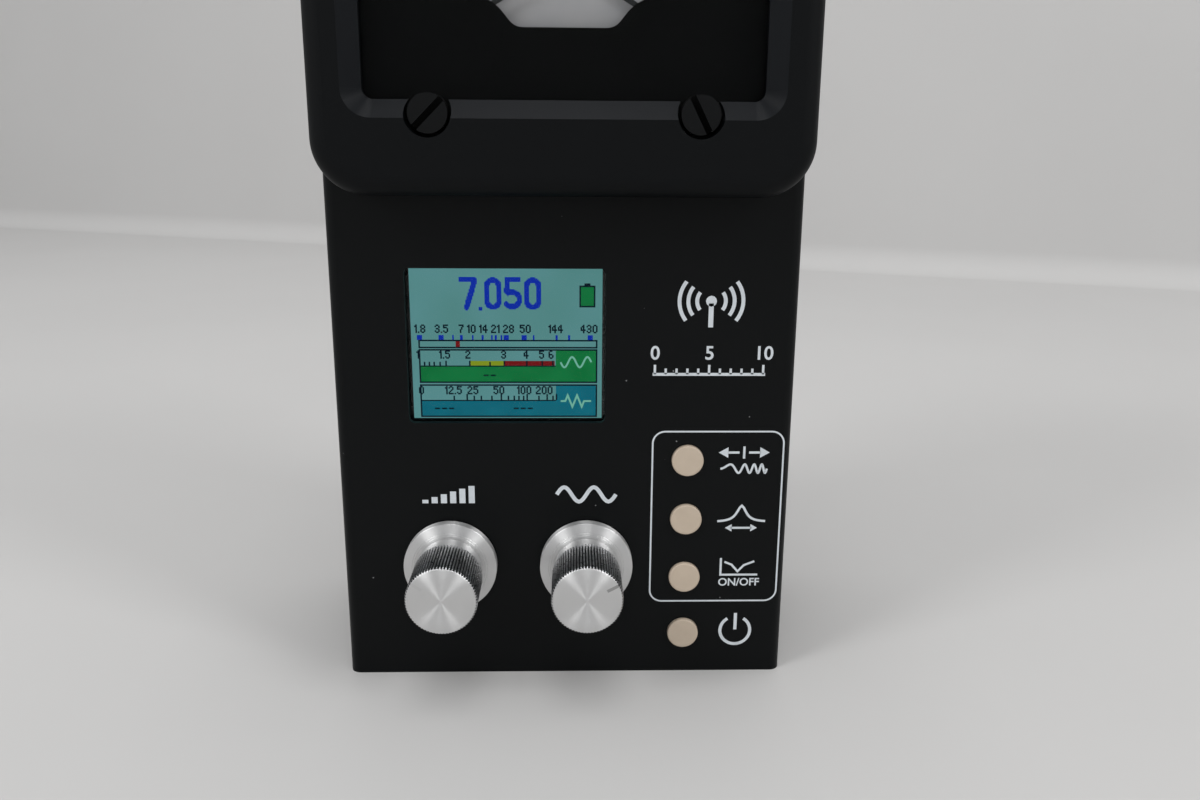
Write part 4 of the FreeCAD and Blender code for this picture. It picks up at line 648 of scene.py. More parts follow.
def turned_aluminium(name, centre, mark_angle, mark_strength):
    """Lathe-turned aluminium about an axis along Y, with an engraved pointer line painted darker as
    shade.
    """
    material, tree, shader = new_material(
        name, BRIGHT_ALUMINIUM, 0.42, Metallic=1.0, Anisotropic=0.95
    )
    offset, flat, radius = from_axis(tree, centre)
    outwards = add_node(tree, "ShaderNodeVectorMath", {"operation": "NORMALIZE"}, {0: flat})
    across = add_node(tree, "ShaderNodeVectorMath", {"operation": "ADD"},
                      {0: outwards.outputs["Vector"], 1: (0, 1, 0)})
    tangent = add_node(tree, "ShaderNodeVectorTransform",
                       {"vector_type": "VECTOR", "convert_from": "OBJECT", "convert_to": "WORLD"},
                       {"Vector": across.outputs["Vector"]})
    tree.links.new(tangent.outputs["Vector"], shader.inputs["Tangent"])
    rings = add_node(tree, "ShaderNodeCombineXYZ", None, {"X": radius})
    scratch = add_node(tree, "ShaderNodeTexNoise", None,
                       {"Vector": rings.outputs["Vector"], "Scale": 1 / TURNING_PITCH,
                        "Detail": 3.0})
    spread = add_node(tree, "ShaderNodeMapRange", None,
                      {"Value": scratch.outputs["Fac"], "To Min": 0.38, "To Max": 0.46})
    tree.links.new(spread.outputs["Result"], shader.inputs["Roughness"])
    line = pointer_line(tree, offset, mark_angle)
    # The pointer line is painted darker, as shade in its engraved groove.
    groove_shade = [mark_strength * a + (1 - mark_strength) * b
            for a, b in zip(linear(GROOVE_SHADE_GREY), linear(BRIGHT_ALUMINIUM))]
    shade = add_node(tree, "ShaderNodeMix", {"data_type": "RGBA"},
                     {"Factor": line, 6: linear(BRIGHT_ALUMINIUM), 7: groove_shade})
    tree.links.new(shade.outputs[2], shader.inputs["Base Color"])
    depth = add_node(tree, "ShaderNodeMath", {"operation": "MULTIPLY"},
                     {0: line, 1: -mark_strength})
    rough = add_node(tree, "ShaderNodeMath", {"operation": "MULTIPLY_ADD"},
                     {0: scratch.outputs["Fac"], 1: 0.02, 2: depth.outputs["Value"]})
    bump = add_node(tree, "ShaderNodeBump", None,
                    {"Height": rough.outputs["Value"], "Distance": 0.05 * MM, "Strength": 0.5})
    tree.links.new(bump.outputs["Normal"], shader.inputs["Normal"])
    return material


def pointer_line(tree, offset, angle):
    """1 on a short radial line engraved in the cap's face, 0 elsewhere."""
    turned = add_node(tree, "ShaderNodeVectorRotate", {"rotation_type": "Y_AXIS"},
                      {"Vector": offset, "Angle": angle})
    axes = add_node(tree, "ShaderNodeSeparateXYZ", None, {"Vector": turned.outputs["Vector"]})
    across = add_node(tree, "ShaderNodeMath", {"operation": "ABSOLUTE"}, {0: axes.outputs["Z"]})
    narrow = add_node(tree, "ShaderNodeMath", {"operation": "LESS_THAN"},
                      {0: across.outputs["Value"], 1: 0.28 * MM})
    outer = add_node(tree, "ShaderNodeMath", {"operation": "GREATER_THAN"},
                     {0: axes.outputs["X"], 1: CAP_RADIUS * 0.62})
    front = add_node(tree, "ShaderNodeMath", {"operation": "LESS_THAN"},
                     {0: axes.outputs["Y"], 1: 0.3 * MM})
    first = add_node(tree, "ShaderNodeMath", {"operation": "MULTIPLY"},
                     {0: narrow.outputs["Value"], 1: outer.outputs["Value"]})
    both = add_node(tree, "ShaderNodeMath", {"operation": "MULTIPLY"},
                    {0: first.outputs["Value"], 1: front.outputs["Value"]})
    return both.outputs["Value"]


def knurled_aluminium(name, centre):
    """Bright ridges, and grooves painted dark as shade."""
    material, tree, shader = new_material(name, "#cfcfd1", 0.3, Metallic=1.0)
    radius = from_axis(tree, centre)[2]
    height = add_node(tree, "ShaderNodeMapRange", None,
                      {"Value": radius, "From Min": CAP_RADIUS - KNURL_DEPTH * 0.7,
                       "From Max": CAP_RADIUS - KNURL_DEPTH * 0.1})
    # The grooves are painted dark as shade; the ridges keep the aluminium's colour.
    ramp = add_node(tree, "ShaderNodeValToRGB", None, {"Fac": height.outputs["Result"]})
    ramp.color_ramp.elements[0].color = linear("#1d1e20")
    ramp.color_ramp.elements[1].color = linear("#dcdcde")
    tree.links.new(ramp.outputs["Color"], shader.inputs["Base Color"])
    vary_roughness(tree, shader, 0.6 * MM, 0.24, 0.36)
    return material


print("turning marks: %.2f mm" % (TURNING_PITCH / MM))

# %% [markdown]
# Each knob takes the place of the imported one and turns with its shaft. The pointer line is
# cut by the material, as a bump and a darker streak of painted shade, because the cap's face
# stays flat. The right knob's line is clear. On the left one it is nearly worn away.

# %% Knobs
def make_knob(name, mark_angle, mark_strength):
    """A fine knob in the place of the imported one."""
    low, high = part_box(name + "_knob")
    centre = Vector(((low.x + high.x) / 2, low.y, (low.z + high.z) / 2))
    piece = knob_mesh(name + "_turned_knob", centre.x, centre.z, high.y, low.y)
    piece.data.materials.append(turned_aluminium(
        name + "_turned_aluminium", centre, math.radians(mark_angle), mark_strength
    ))
    piece.data.materials.append(knurled_aluminium(name + "_knurled_aluminium", centre))
    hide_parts(name + "_knob")
    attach(piece, name + "_knob_set")
    return piece


for knob_name, mark_angle, mark_strength in (("band", 146, 0.05), ("frequency", 28, 0.45)):
    knob = make_knob(knob_name, mark_angle, mark_strength)
    print(knob.name, len(knob.data.polygons), "faces")

# %% [markdown]
# Prints lie on a face as flat plates a hundredth of a millimetre proud. Each outline is a
# list of corners in millimetres. A ribbon turns a line into a strip of quads of one width,
# mitred at its corners, which is what a screen print or a dial scale is made of.

# %% Flat prints
def flat_piece(name, outlines, depth, material, body="case"):
    """One mesh of flat faces in a plane at Y = depth, facing the user."""
    mesh = bmesh.new()
    for outline in outlines:
        area = sum(
            a[0] * b[1] - b[0] * a[1] for a, b in zip(outline, outline[1:] + outline[:1])
        )
        corners = outline if area > 0 else outline[::-1]
        mesh.faces.new([mesh.verts.new((x * MM, depth, z * MM)) for x, z in corners])
    piece = finished(mesh, name)
    piece.data.materials.append(material)
    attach(piece, body)
    return piece


def ribbon(points, width, closed=False):
    """A line of one width as quads, mitred at its corners."""
    points = [Vector(p) for p in points]
    count = len(points)
    sides = []
    for index, point in enumerate(points):
        before = points[index - 1] if index or closed else None
        after = points[(index + 1) % count] if index < count - 1 or closed else None
        ways = []
        if before is not None:
            ways.append((point - before).normalized())
        if after is not None:
            ways.append((after - point).normalized())
        way = sum(ways, Vector((0, 0))).normalized()
        side = Vector((-way.y, way.x))
        normal = Vector((-ways[0].y, ways[0].x))
        reach = width / 2 / max(0.3, side.dot(normal))
        sides.append((point + side * reach, point - side * reach))
    spans = list(zip(sides, sides[1:] + sides[:1]))
    if not closed:
        spans = spans[:-1]
    return [[tuple(a[0]), tuple(a[1]), tuple(b[1]), tuple(b[0])] for a, b in spans]


def arc(x, z, radius, start, end, count=24):
    """Points on an arc, angles in degrees from +X towards +Z."""
    angles = [math.radians(start + (end - start) * i / count) for i in range(count + 1)]
    return [(x + radius * math.cos(a), z + radius * math.sin(a)) for a in angles]


def round_frame(left, low, right, high, radius):
    """The line of a rectangle with round corners."""
    return (
        arc(right - radius, low + radius, radius, -90, 0, 8)
        + arc(right - radius, high - radius, radius, 0, 90, 8)
        + arc(left + radius, high - radius, radius, 90, 180, 8)
        + arc(left + radius, low + radius, radius, 180, 270, 8)
    )


def rectangle(left, low, right, high):
    """The corners of a plain rectangle."""
    return [(left, low), (right, low), (right, high), (left, high)]


def baked(maker, name, *helpers):
    """What a curve or modifiers make, as a plain mesh. The maker and its helpers go."""
    bpy.context.view_layer.update()
    made = bpy.data.meshes.new_from_object(
        maker.evaluated_get(bpy.context.evaluated_depsgraph_get())
    )
    for used in (maker, *helpers):
        bpy.data.objects.remove(used)
    return placed(name, made)


CAPITAL_SHARE = 0.7
STROKE_SWELL = 0.025


def lettering(text, height, x, z, angle=0.0):
    """The faces of a few figures, centred on a point, height in millimetres."""
    curve = bpy.data.curves.new("figures", "FONT")
    curve.body = text
    curve.align_x = "CENTER"
    curve.align_y = "CENTER"
    curve.size = height / CAPITAL_SHARE
    curve.offset = STROKE_SWELL * height
    curve.resolution_u = 4
    writing = baked(placed("figures", curve), "figures")
    mesh = writing.data
    turn = Matrix.Rotation(math.radians(angle), 2)
    corners = [turn @ Vector(v.co[:2]) + Vector((x, z)) for v in mesh.vertices]
    outlines = [[tuple(corners[i]) for i in face.vertices] for face in mesh.polygons]
    bpy.data.objects.remove(writing)
    bpy.data.curves.remove(curve)
    bpy.data.meshes.remove(mesh)
    return outlines


print("faces of a plain 8:", len(lettering("8", 2.0, 0, 0)))

# %% [markdown]
# The mask over the needle pivots is a thin black sheet. Its edge falls from two humps to a
# flat valley in a short soft S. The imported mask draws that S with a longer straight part, so
# a finer sheet takes its place. A filled 2D curve gives the sheet and its two holes at once.

# %% Meter mask
VALLEY_HALF, VALLEY_HEIGHT, VALLEY_RADIUS = 6.9, 120.25, 2.9
MASK_SLOPE, SLOPE_LENGTH, HUMP_RADIUS = 51.0, 1.6, 7.0
ADJUSTER_X, ADJUSTER_Z, MASK_HOLE_RADIUS = 22.3, 106.5, 2.0


def valley_edge():
    """The right half of the mask's upper edge, from its hump to the valley's middle."""
    slope = math.radians(MASK_SLOPE)
    foot_x = VALLEY_HALF + VALLEY_RADIUS * math.sin(slope)
    foot_z = VALLEY_HEIGHT + VALLEY_RADIUS * (1 - math.cos(slope))
    hump_x = foot_x + SLOPE_LENGTH * math.cos(slope) + HUMP_RADIUS * math.sin(slope)
    hump_z = foot_z + SLOPE_LENGTH * math.sin(slope) - HUMP_RADIUS * math.cos(slope)
    hollow_z = VALLEY_HEIGHT + VALLEY_RADIUS
    return (
        arc(hump_x, hump_z, HUMP_RADIUS, 90, 90 + MASK_SLOPE, 12)
        + arc(VALLEY_HALF, hollow_z, VALLEY_RADIUS, MASK_SLOPE - 90, -90, 8)
    )


def mask_sheet():
    """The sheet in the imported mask's place, with a round hole for each zero adjuster."""
    low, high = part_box("meter_mask")
    right = valley_edge()
    edge = right + [(-x, z) for x, z in reversed(right)]
    top = edge[0][1]
    outline = [(low.x / MM, low.z / MM), (high.x / MM, low.z / MM), (high.x / MM, top)]
    outline += edge + [(low.x / MM, top)]
    holes = [arc(side * ADJUSTER_X, ADJUSTER_Z, MASK_HOLE_RADIUS, 0, 345, 23) for side in (-1, 1)]
    curve = bpy.data.curves.new("meter_mask_outline", "CURVE")
    curve.dimensions = "2D"
    curve.fill_mode = "BOTH"
    curve.extrude = (high.y - low.y) / 2
    for points in (outline, *holes):
        spline = curve.splines.new("POLY")
        spline.points.add(len(points) - 1)
        spline.use_cyclic_u = True
        for point, (x, z) in zip(spline.points, points):
            point.co = (x * MM, z * MM, 0, 1)
    piece = baked(placed("meter_mask_outline", curve), "printed_meter_mask")
    piece.data.transform(
        Matrix.Translation((0, (low.y + high.y) / 2, 0)) @ Matrix.Rotation(math.pi / 2, 4, "X")
    )
    piece.data.materials.clear()
    piece.data.materials.append(matt_print("matt_black_mask_print", "#010101", "#030303"))
    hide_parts("meter_mask")
    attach(piece, "case")
    return piece


print("mask:", len(mask_sheet().data.polygons), "faces")

# %% [markdown]
# The panel's print is pale grey ink, pressed through a silk screen, so its edges are crisp
# and its face is dull. It has the box round three keys, the power symbol, and plain signs for
# what each knob and key does. No words are needed for that, apart from the ON/OFF of a
# switch. A texture would blur close up, so each sign is drawn as flat faces, measured in
# millimetres about its own centre.

# %% Signs of the panel
INK_DEPTH = PANEL_FACE - 0.012 * MM
FRAME_LINE = 0.32
FRAME_CORNER = 2.3
KEY_HEIGHTS = {name: (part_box(name)[0].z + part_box(name)[1].z) / 2 / MM for name in KEYS}
LABEL_X = 33.6


def ink():
    """Screen ink: a thin dull film that takes the light a little unevenly."""
    material, tree, shader = new_material("pale_grey_screen_ink", "#d3d9de", 0.5)
    vary_colour(tree, shader, 1.5 * MM, "#d6dce1", "#ccd2d7")
    add_grain(tree, shader, 0.12 * MM, 0.002 * MM)
    return material


def arrow(x, z, way, size=1.0):
    """A solid triangle that points left or right."""
    return [(x, z - size * 0.75), (x + way * size * 1.3, z), (x, z + size * 0.75)]


def sine(x, z, width, height, waves):
    """Points on a few waves about a centre."""
    steps = 16 * waves
    return [
        (x - width / 2 + width * i / steps,
         z + height / 2 * math.sin(2 * math.pi * waves * i / steps))
        for i in range(steps + 1)
    ]


def power_sign(x, z, radius, width):
    """An open ring with a stem in its gap."""
    ring = ribbon(arc(x, z, radius, 122, 418, 48), width)
    stem = rectangle(x - width / 2, z + radius * 0.05, x + width / 2, z + radius * 1.25)
    return ring + [stem]


def sweep_sign(x, z):
    """Arrows that run out both ways from a centre line, over a rising wave."""
    chirp = [
        (x - 4.4 + 8.8 * i / 96, z - 1.7 + 0.85 * math.sin(2 * math.pi * 4 * (i / 96) ** 1.8))
        for i in range(97)
    ]
    top = z + 1.5
    return (
        [rectangle(x - 0.22, top - 1.2, x + 0.22, top + 1.2), arrow(x + 3.0, top, 1, 1.4),
         arrow(x - 3.0, top, -1, 1.4)]
        + ribbon([(x + 0.9, top), (x + 3.1, top)], 0.45)
        + ribbon([(x - 3.1, top), (x - 0.9, top)], 0.45) + ribbon(chirp, 0.42)
    )


def width_sign(x, z):
    """A resonance curve with an arrow across its width."""
    bell = [(x - 4.6 + 9.2 * i / 24, z - 1.3 + 3.3 / (1 + ((i - 12) / 2.8) ** 2)) for i in range(25)]
    marks = ribbon([(x - 2.0, z - 2.5), (x + 2.0, z - 2.5)], 0.42)
    return ribbon(bell, 0.45) + marks + [
        arrow(x + 1.8, z - 2.5, 1, 1.0), arrow(x - 1.8, z - 2.5, -1, 1.0)
    ]


def graph_sign(x, z):
    """A chart's axes with a trace."""
    trace = [(x - 2.9, z + 1.1), (x - 1.5, z + 0.5), (x - 0.3, z - 0.9), (x + 0.9, z + 0.4),
             (x + 2.9, z + 1.2)]
    axes = [(x - 3.6, z + 1.9), (x - 3.6, z - 1.6), (x + 3.6, z - 1.6)]
    return ribbon(trace, 0.42) + ribbon(axes, 0.42)


def stepped_sign(x, z):
    """Bars of rising height, for a band switch."""
    bars = []
    for step in range(6):
        left = x - 5.1 + step * 1.75
        bars.append(rectangle(left, z - 1.7, left + 1.15, z - 1.0 + step * 0.55))
    return bars


def mast_sign(x, z):
    """A mast that sends out waves to both sides."""
    faces = ribbon([(x, z - 4.2), (x, z + 0.2)], 0.9) + [arc(x, z + 0.6, 1.0, 0, 330, 11)]
    for radius in (2.6, 4.2, 5.8):
        faces += ribbon(arc(x, z + 0.6, radius, -38, 38, 12), 0.7)
        faces += ribbon(arc(x, z + 0.6, radius, 142, 218, 12), 0.7)
    return faces


def range_scale(x, z):
    """A plain scale with a few figures."""
    faces = ribbon([(x - 10.4, z), (x + 10.4, z)], 0.55)
    for step in range(11):
        left = x - 10.0 + step * 2.0
        tall = 1.8 if step % 5 == 0 else 1.1
        faces.append(rectangle(left - 0.22, z, left + 0.22, z + tall))
    for step, figures in enumerate(("0", "5", "10")):
        faces += lettering(figures, 2.5, x - 10.0 + step * 10.0, z + 3.9)
    return faces


print("height of the lowest key: %.1f mm" % min(KEY_HEIGHTS.values()))

# %% [markdown]
# All signs become one mesh on one plane. One piece is lighter than twenty, and the ink is
# one print on the real panel too.

# %% Panel print
frame_box = (16.3, 15.1, 41.0, 49.6)  # left, low, right and high, in millimetres
panel_print = ribbon(round_frame(*frame_box, FRAME_CORNER), FRAME_LINE, closed=True)
panel_print += power_sign(33.3, KEY_HEIGHTS["power_button"] + 0.3, 2.95, 0.62)
panel_print += sweep_sign(LABEL_X, KEY_HEIGHTS["sweep_button"])
panel_print += width_sign(LABEL_X, KEY_HEIGHTS["bandwidth_button"] + 0.6)
panel_print += graph_sign(LABEL_X, KEY_HEIGHTS["graph_button"] + 1.9)
panel_print += lettering("ON/OFF", 1.55, LABEL_X, KEY_HEIGHTS["graph_button"] - 1.3)
panel_print += stepped_sign(-22.0, 37.2)
panel_print += ribbon(sine(3.9, 37.2, 11.2, 2.9, 2), 0.75)
panel_print += mast_sign(26.4, 73.6)
panel_print += range_scale(26.4, 60.6)
flat_piece("panel_print", panel_print, INK_DEPTH, ink())
print("panel print:", len(panel_print), "faces")

# %% [markdown]
# The display is a small colour liquid crystal panel, 160 by 128 dots on a pitch of
# 0.219 mm, lit from behind. An image texture would be simple, but plates that glow with the
# backlight's colours stay sharp from near and far. Figures are drawn dot by dot, as such a
# panel draws them, and thin lines are a touch wider than a dot, since dark dots bleed.

# %% Dots and figures of the display
DOT = 35.04 / 160
SCREEN_X, SCREEN_Z = -10.8, 65.65
SCREEN_LEFT = SCREEN_X - 160 * DOT / 2
SCREEN_TOP = SCREEN_Z + 128 * DOT / 2
DOT_SPREAD = 0.16
glass_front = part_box("display_glass")[0].y


def dots(left, top, right, low, spread=0.0):
    """A rectangle of the picture, from its dots' edges, counted from the upper left."""
    return rectangle(
        SCREEN_LEFT + (left - spread) * DOT, SCREEN_TOP - (low + spread) * DOT,
        SCREEN_LEFT + (right + spread) * DOT, SCREEN_TOP - (top - spread) * DOT,
    )


def outline_dots(left, top, right, low):
    """The one-dot outline of a rectangle."""
    return [
        dots(left, top, right, top + 1, DOT_SPREAD), dots(left, low - 1, right, low, DOT_SPREAD),
        dots(left, top, left + 1, low, DOT_SPREAD), dots(right - 1, top, right, low, DOT_SPREAD),
    ]


FIGURES = {
    "0": " ## /#  #/#  #/#  #/#  #/#  #/ ## ", "1": " #/##/ #/ #/ #/ #/ #",
    "2": " ## /#  #/   #/  # / #  /#   /####", "3": " ## /#  #/   #/ ## /   #/#  #/ ## ",
    "4": "  # / ## /# # /# # /####/  # /  # ", "5": "####/#   /### /   #/   #/#  #/ ## ",
    "6": " ## /#   /#   /### /#  #/#  #/ ## ", "7": "####/   #/  # /  # / #  / #  / #  ",
    "8": " ## /#  #/#  #/ ## /#  #/#  #/ ## ", ".": " / / / / / /#",
}


def runs(row):
    """Start and end of each unbroken stretch of marks in a row."""
    found = []
    start = None
    for index, mark in enumerate(row + " "):
        if mark == "#" and start is None:
            start = index
        if mark != "#" and start is not None:
            found.append((start, index))
            start = None
    return found


def small_figures(text, left, top):
    """Dots of a small number whose upper left dot is given."""
    faces = []
    for figure in text:
        rows = FIGURES[figure].split("/")
        for down, row in enumerate(rows):
            for start, end in runs(row):
                faces.append(
                    dots(left + start, top + down, left + end, top + down + 1, DOT_SPREAD)
                )
        left += len(rows[0]) + 1
    return faces


BIG_STROKES = {
    "7": [[(1.5, 2), (12.5, 2), (12.5, 5), (6, 25.5)]],
    "0": [arc(7, 7.5, 5, 180, 360, 16)[::-1] + arc(7, 20, 5, 180, 0, 16) + [(12, 7.5)]],
    "5": [[(12, 2), (3.2, 2), (2.6, 12.4)] + arc(6.8, 18.6, 6.2, -120, 140, 20)],
}


def big_figure(strokes, left, top):
    """A tall figure: every dot whose middle lies within a stroke."""
    faces = []
    lines = [(Vector(a), Vector(b)) for line in strokes for a, b in zip(line, line[1:])]
    for down in range(28):
        row = "".join(
            "#" if min(distance(Vector((across + 0.5, down + 0.5)), a, b) for a, b in lines) < 2.3
            else " " for across in range(16)
        )
        for start, end in runs(row):
            faces.append(dots(left + start, top + down, left + end, top + down + 1))
    return faces


def distance(point, a, b):
    """How far a point lies from a line's nearest point."""
    along = b - a
    share = max(0, min(1, (point - a).dot(along) / along.length_squared))
    return (point - a - along * share).length


def glow(name, colour, other=None, size=4 * MM):
    """A backlit colour, a little uneven as the light behind it is."""
    material, tree, shader = new_material(name, "#020202", 0.35, **{"Specular IOR Level": 0.0})
    noise = patches(tree, size, 1.0)
    ramp = add_node(tree, "ShaderNodeValToRGB", None, {"Fac": noise})
    ramp.color_ramp.elements[0].position = 0.3
    ramp.color_ramp.elements[0].color = linear(colour)
    ramp.color_ramp.elements[1].position = 0.7
    ramp.color_ramp.elements[1].color = linear(other or colour)
    tree.links.new(ramp.outputs["Color"], shader.inputs["Emission Color"])
    shader.inputs["Emission Strength"].default_value = 1.0
    return material


print("dot: %.3f mm" % DOT)

# %% [markdown]
# The picture shows what such an instrument shows: a reading, a scale of bands, one for the
# standing wave ratio and one for the resistance, with plain signs in the coloured fields.
# Each colour is one layer of plates, 0.004 mm in front of the one before, so none flickers.
# Places are counted in dots, to the right and down from the picture's upper left corner.

# %% Scales of the display
def band_scale():
    """Small figures over blue marks, one for each band."""
    figures = [("1.8", 3), ("3.5", 20), ("7", 40), ("10", 47), ("14", 57), ("21", 67),
               ("28", 77), ("50", 91), ("144", 115), ("430", 142)]
    faces = []
    for text, left in figures:
        faces += small_figures(text, left, 47)
    marks = [(5, 9), (23, 27), (34.5, 35.5), (41, 43), (51, 52), (59, 60.5), (67, 68),
             (70, 71.5), (75, 76), (77.5, 81.5), (92.5, 96.5), (102, 103), (121, 122.5),
             (131.5, 133), (148, 152)]
    return faces, [dots(left, 56, right, 60, DOT_SPREAD) for left, right in marks]


def ratio_scale():
    """The scale of the green box: figures and ticks."""
    faces = []
    for text, left in (("1", 4), ("1.5", 23), ("2", 45), ("3", 75), ("4", 94), ("5", 107),
                       ("6", 115)):
        faces += small_figures(text, left, 69)
    for left, top in ((6, 78), (10, 79), (14, 79), (18, 79), (23, 79), (28, 78), (48, 78),
                      (65, 79), (77, 78), (96, 78), (109, 78), (118, 78)):
        faces.append(dots(left, top, left + 1, 83, DOT_SPREAD))
    return faces


def resistance_scale():
    """The scale of the lower box."""
    faces = []
    for text, left in (("0", 5), ("12.5", 27), ("25", 46), ("50", 68), ("100", 88),
                       ("200", 104)):
        faces += small_figures(text, left, 100)
    for left in (34, 45, 51, 57, 66, 74, 80, 85, 89, 93, 96, 106, 113, 118, 121):
        tall = 107 if left in (45, 74, 96, 113, 121) else 108.5
        faces.append(dots(left, tall, left + 1, 112, DOT_SPREAD))
    return faces


def dashes(left, top, count):
    """A row of dashes, as a display shows where it has no reading."""
    return [
        dots(left + 6 * i, top, left + 6 * i + 4, top + 1, DOT_SPREAD) for i in range(count)
    ]


print("band scale: %d plates" % len(band_scale()[0]))

# %% [markdown]
# The layers run from the ground colour to the black figures. The last holds two pale signs,
# a wave for the ratio's field and a zigzag, the sign of resistance, for the other.

# %% Display picture
LAYER_STEP = 0.004 * MM
picture_depth = glass_front - 0.03 * MM
black_figures, blue_marks = band_scale()
black_figures += ratio_scale() + resistance_scale()
black_figures += outline_dots(6, 60, 156, 67) + outline_dots(6, 68, 156, 97)
black_figures += outline_dots(6, 98.5, 156, 127)
black_figures += [dots(6, 82, 121, 83), dots(6, 112, 121, 113)]
black_figures += outline_dots(141, 14, 154, 32) + [dots(145, 12, 150, 14)]
black_figures += dashes(60, 90, 2) + dashes(18, 119, 3) + dashes(85, 119, 3)
blue = [dots(57, 32, 60, 35)]
for figure, left in (("7", 41), ("0", 62), ("5", 78), ("0", 95)):
    blue += big_figure(BIG_STROKES[figure], left, 7)
green_block = [dots(7, 83, 155, 96), dots(121, 69, 155, 83), dots(142, 15, 153, 31)]
teal_block = [dots(7, 113, 155, 126), dots(121, 99.5, 155, 113)]
picture_layers = [
    ("picture_ground", [dots(0, 0, 160, 128)],
     glow("backlit_pale_teal", "#5a8c8e", "#538583", 12 * MM)),
    ("picture_green", green_block, glow("backlit_green", "#17733e", "#136b38")),
    ("picture_teal", teal_block, glow("backlit_blue_green", "#166879", "#125f70")),
    ("picture_yellow", [dots(48, 78, 77, 82)], glow("backlit_yellow", "#7f8f22")),
    ("picture_red", [dots(78, 78, 120, 82), dots(37, 61, 40.6, 66)],
     glow("backlit_red", "#6f181a")),
    ("picture_blue", blue + blue_marks, glow("backlit_blue", "#122d9c")),
    ("picture_black", black_figures, glow("unlit_dots", "#0b1a24")),
]
for index, (name, faces, material) in enumerate(picture_layers):
    flat_piece(name, faces, picture_depth - index * LAYER_STEP, material)
zigzag = [(125, 113), (129, 113), (131, 108), (135, 118), (139, 108), (143, 118), (145, 113),
          (151, 113)]
signs = []
for line in (sine(138, 79, 26, 9, 2), zigzag):
    signs += ribbon([(SCREEN_LEFT + x * DOT, SCREEN_TOP - z * DOT) for x, z in line], 1.6 * DOT)
flat_piece("picture_signs", signs, picture_depth - 9 * LAYER_STEP,
           glow("backlit_pale_sign", "#6fae9a"))
print("display picture:", sum(len(faces) for _, faces, _ in picture_layers), "plates")

# %% [markdown]
# Behind the window the display's glass carries a dark polariser film. It is dull black where
# no dot is lit, so only a narrow margin of it shows round the picture.

# %% Display glass
def dark_polariser():
    """A plastic film with a soft gloss over black."""
    material, tree, shader = new_material("dark_polariser_film", "#08090a", 0.25)
    vary_roughness(tree, shader, 6 * MM, 0.2, 0.3)
    return material


paint(dark_polariser(), "display_glass")
print("display glass painted")

# %% [markdown]
# The dial card has a scale for each needle, an arc about that needle's own pivot. Where
# the two needles cross, a family of red lines gives the standing wave ratio. The ticks
# repeat about a pivot, so Geometry Nodes set one bar on every point of an arc.

# %% Dial ticks with Geometry Nodes
PIVOT_X, PIVOT_Z = 22.3, 118.0
REST_ANGLE, TRAVEL = 30.0, 60.0
SCALE_RADIUS = 43.0
dial_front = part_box("meter_dial")[0].y
INK_ON_DIAL = dial_front - 0.02 * MM


def input_socket(tree, name, kind, value):
    """A named input of a Geometry Nodes tree."""
    socket = tree.interface.new_socket(name, in_out="INPUT", socket_type=kind)
    if value is not None:
        socket.default_value = value
    return socket.identifier


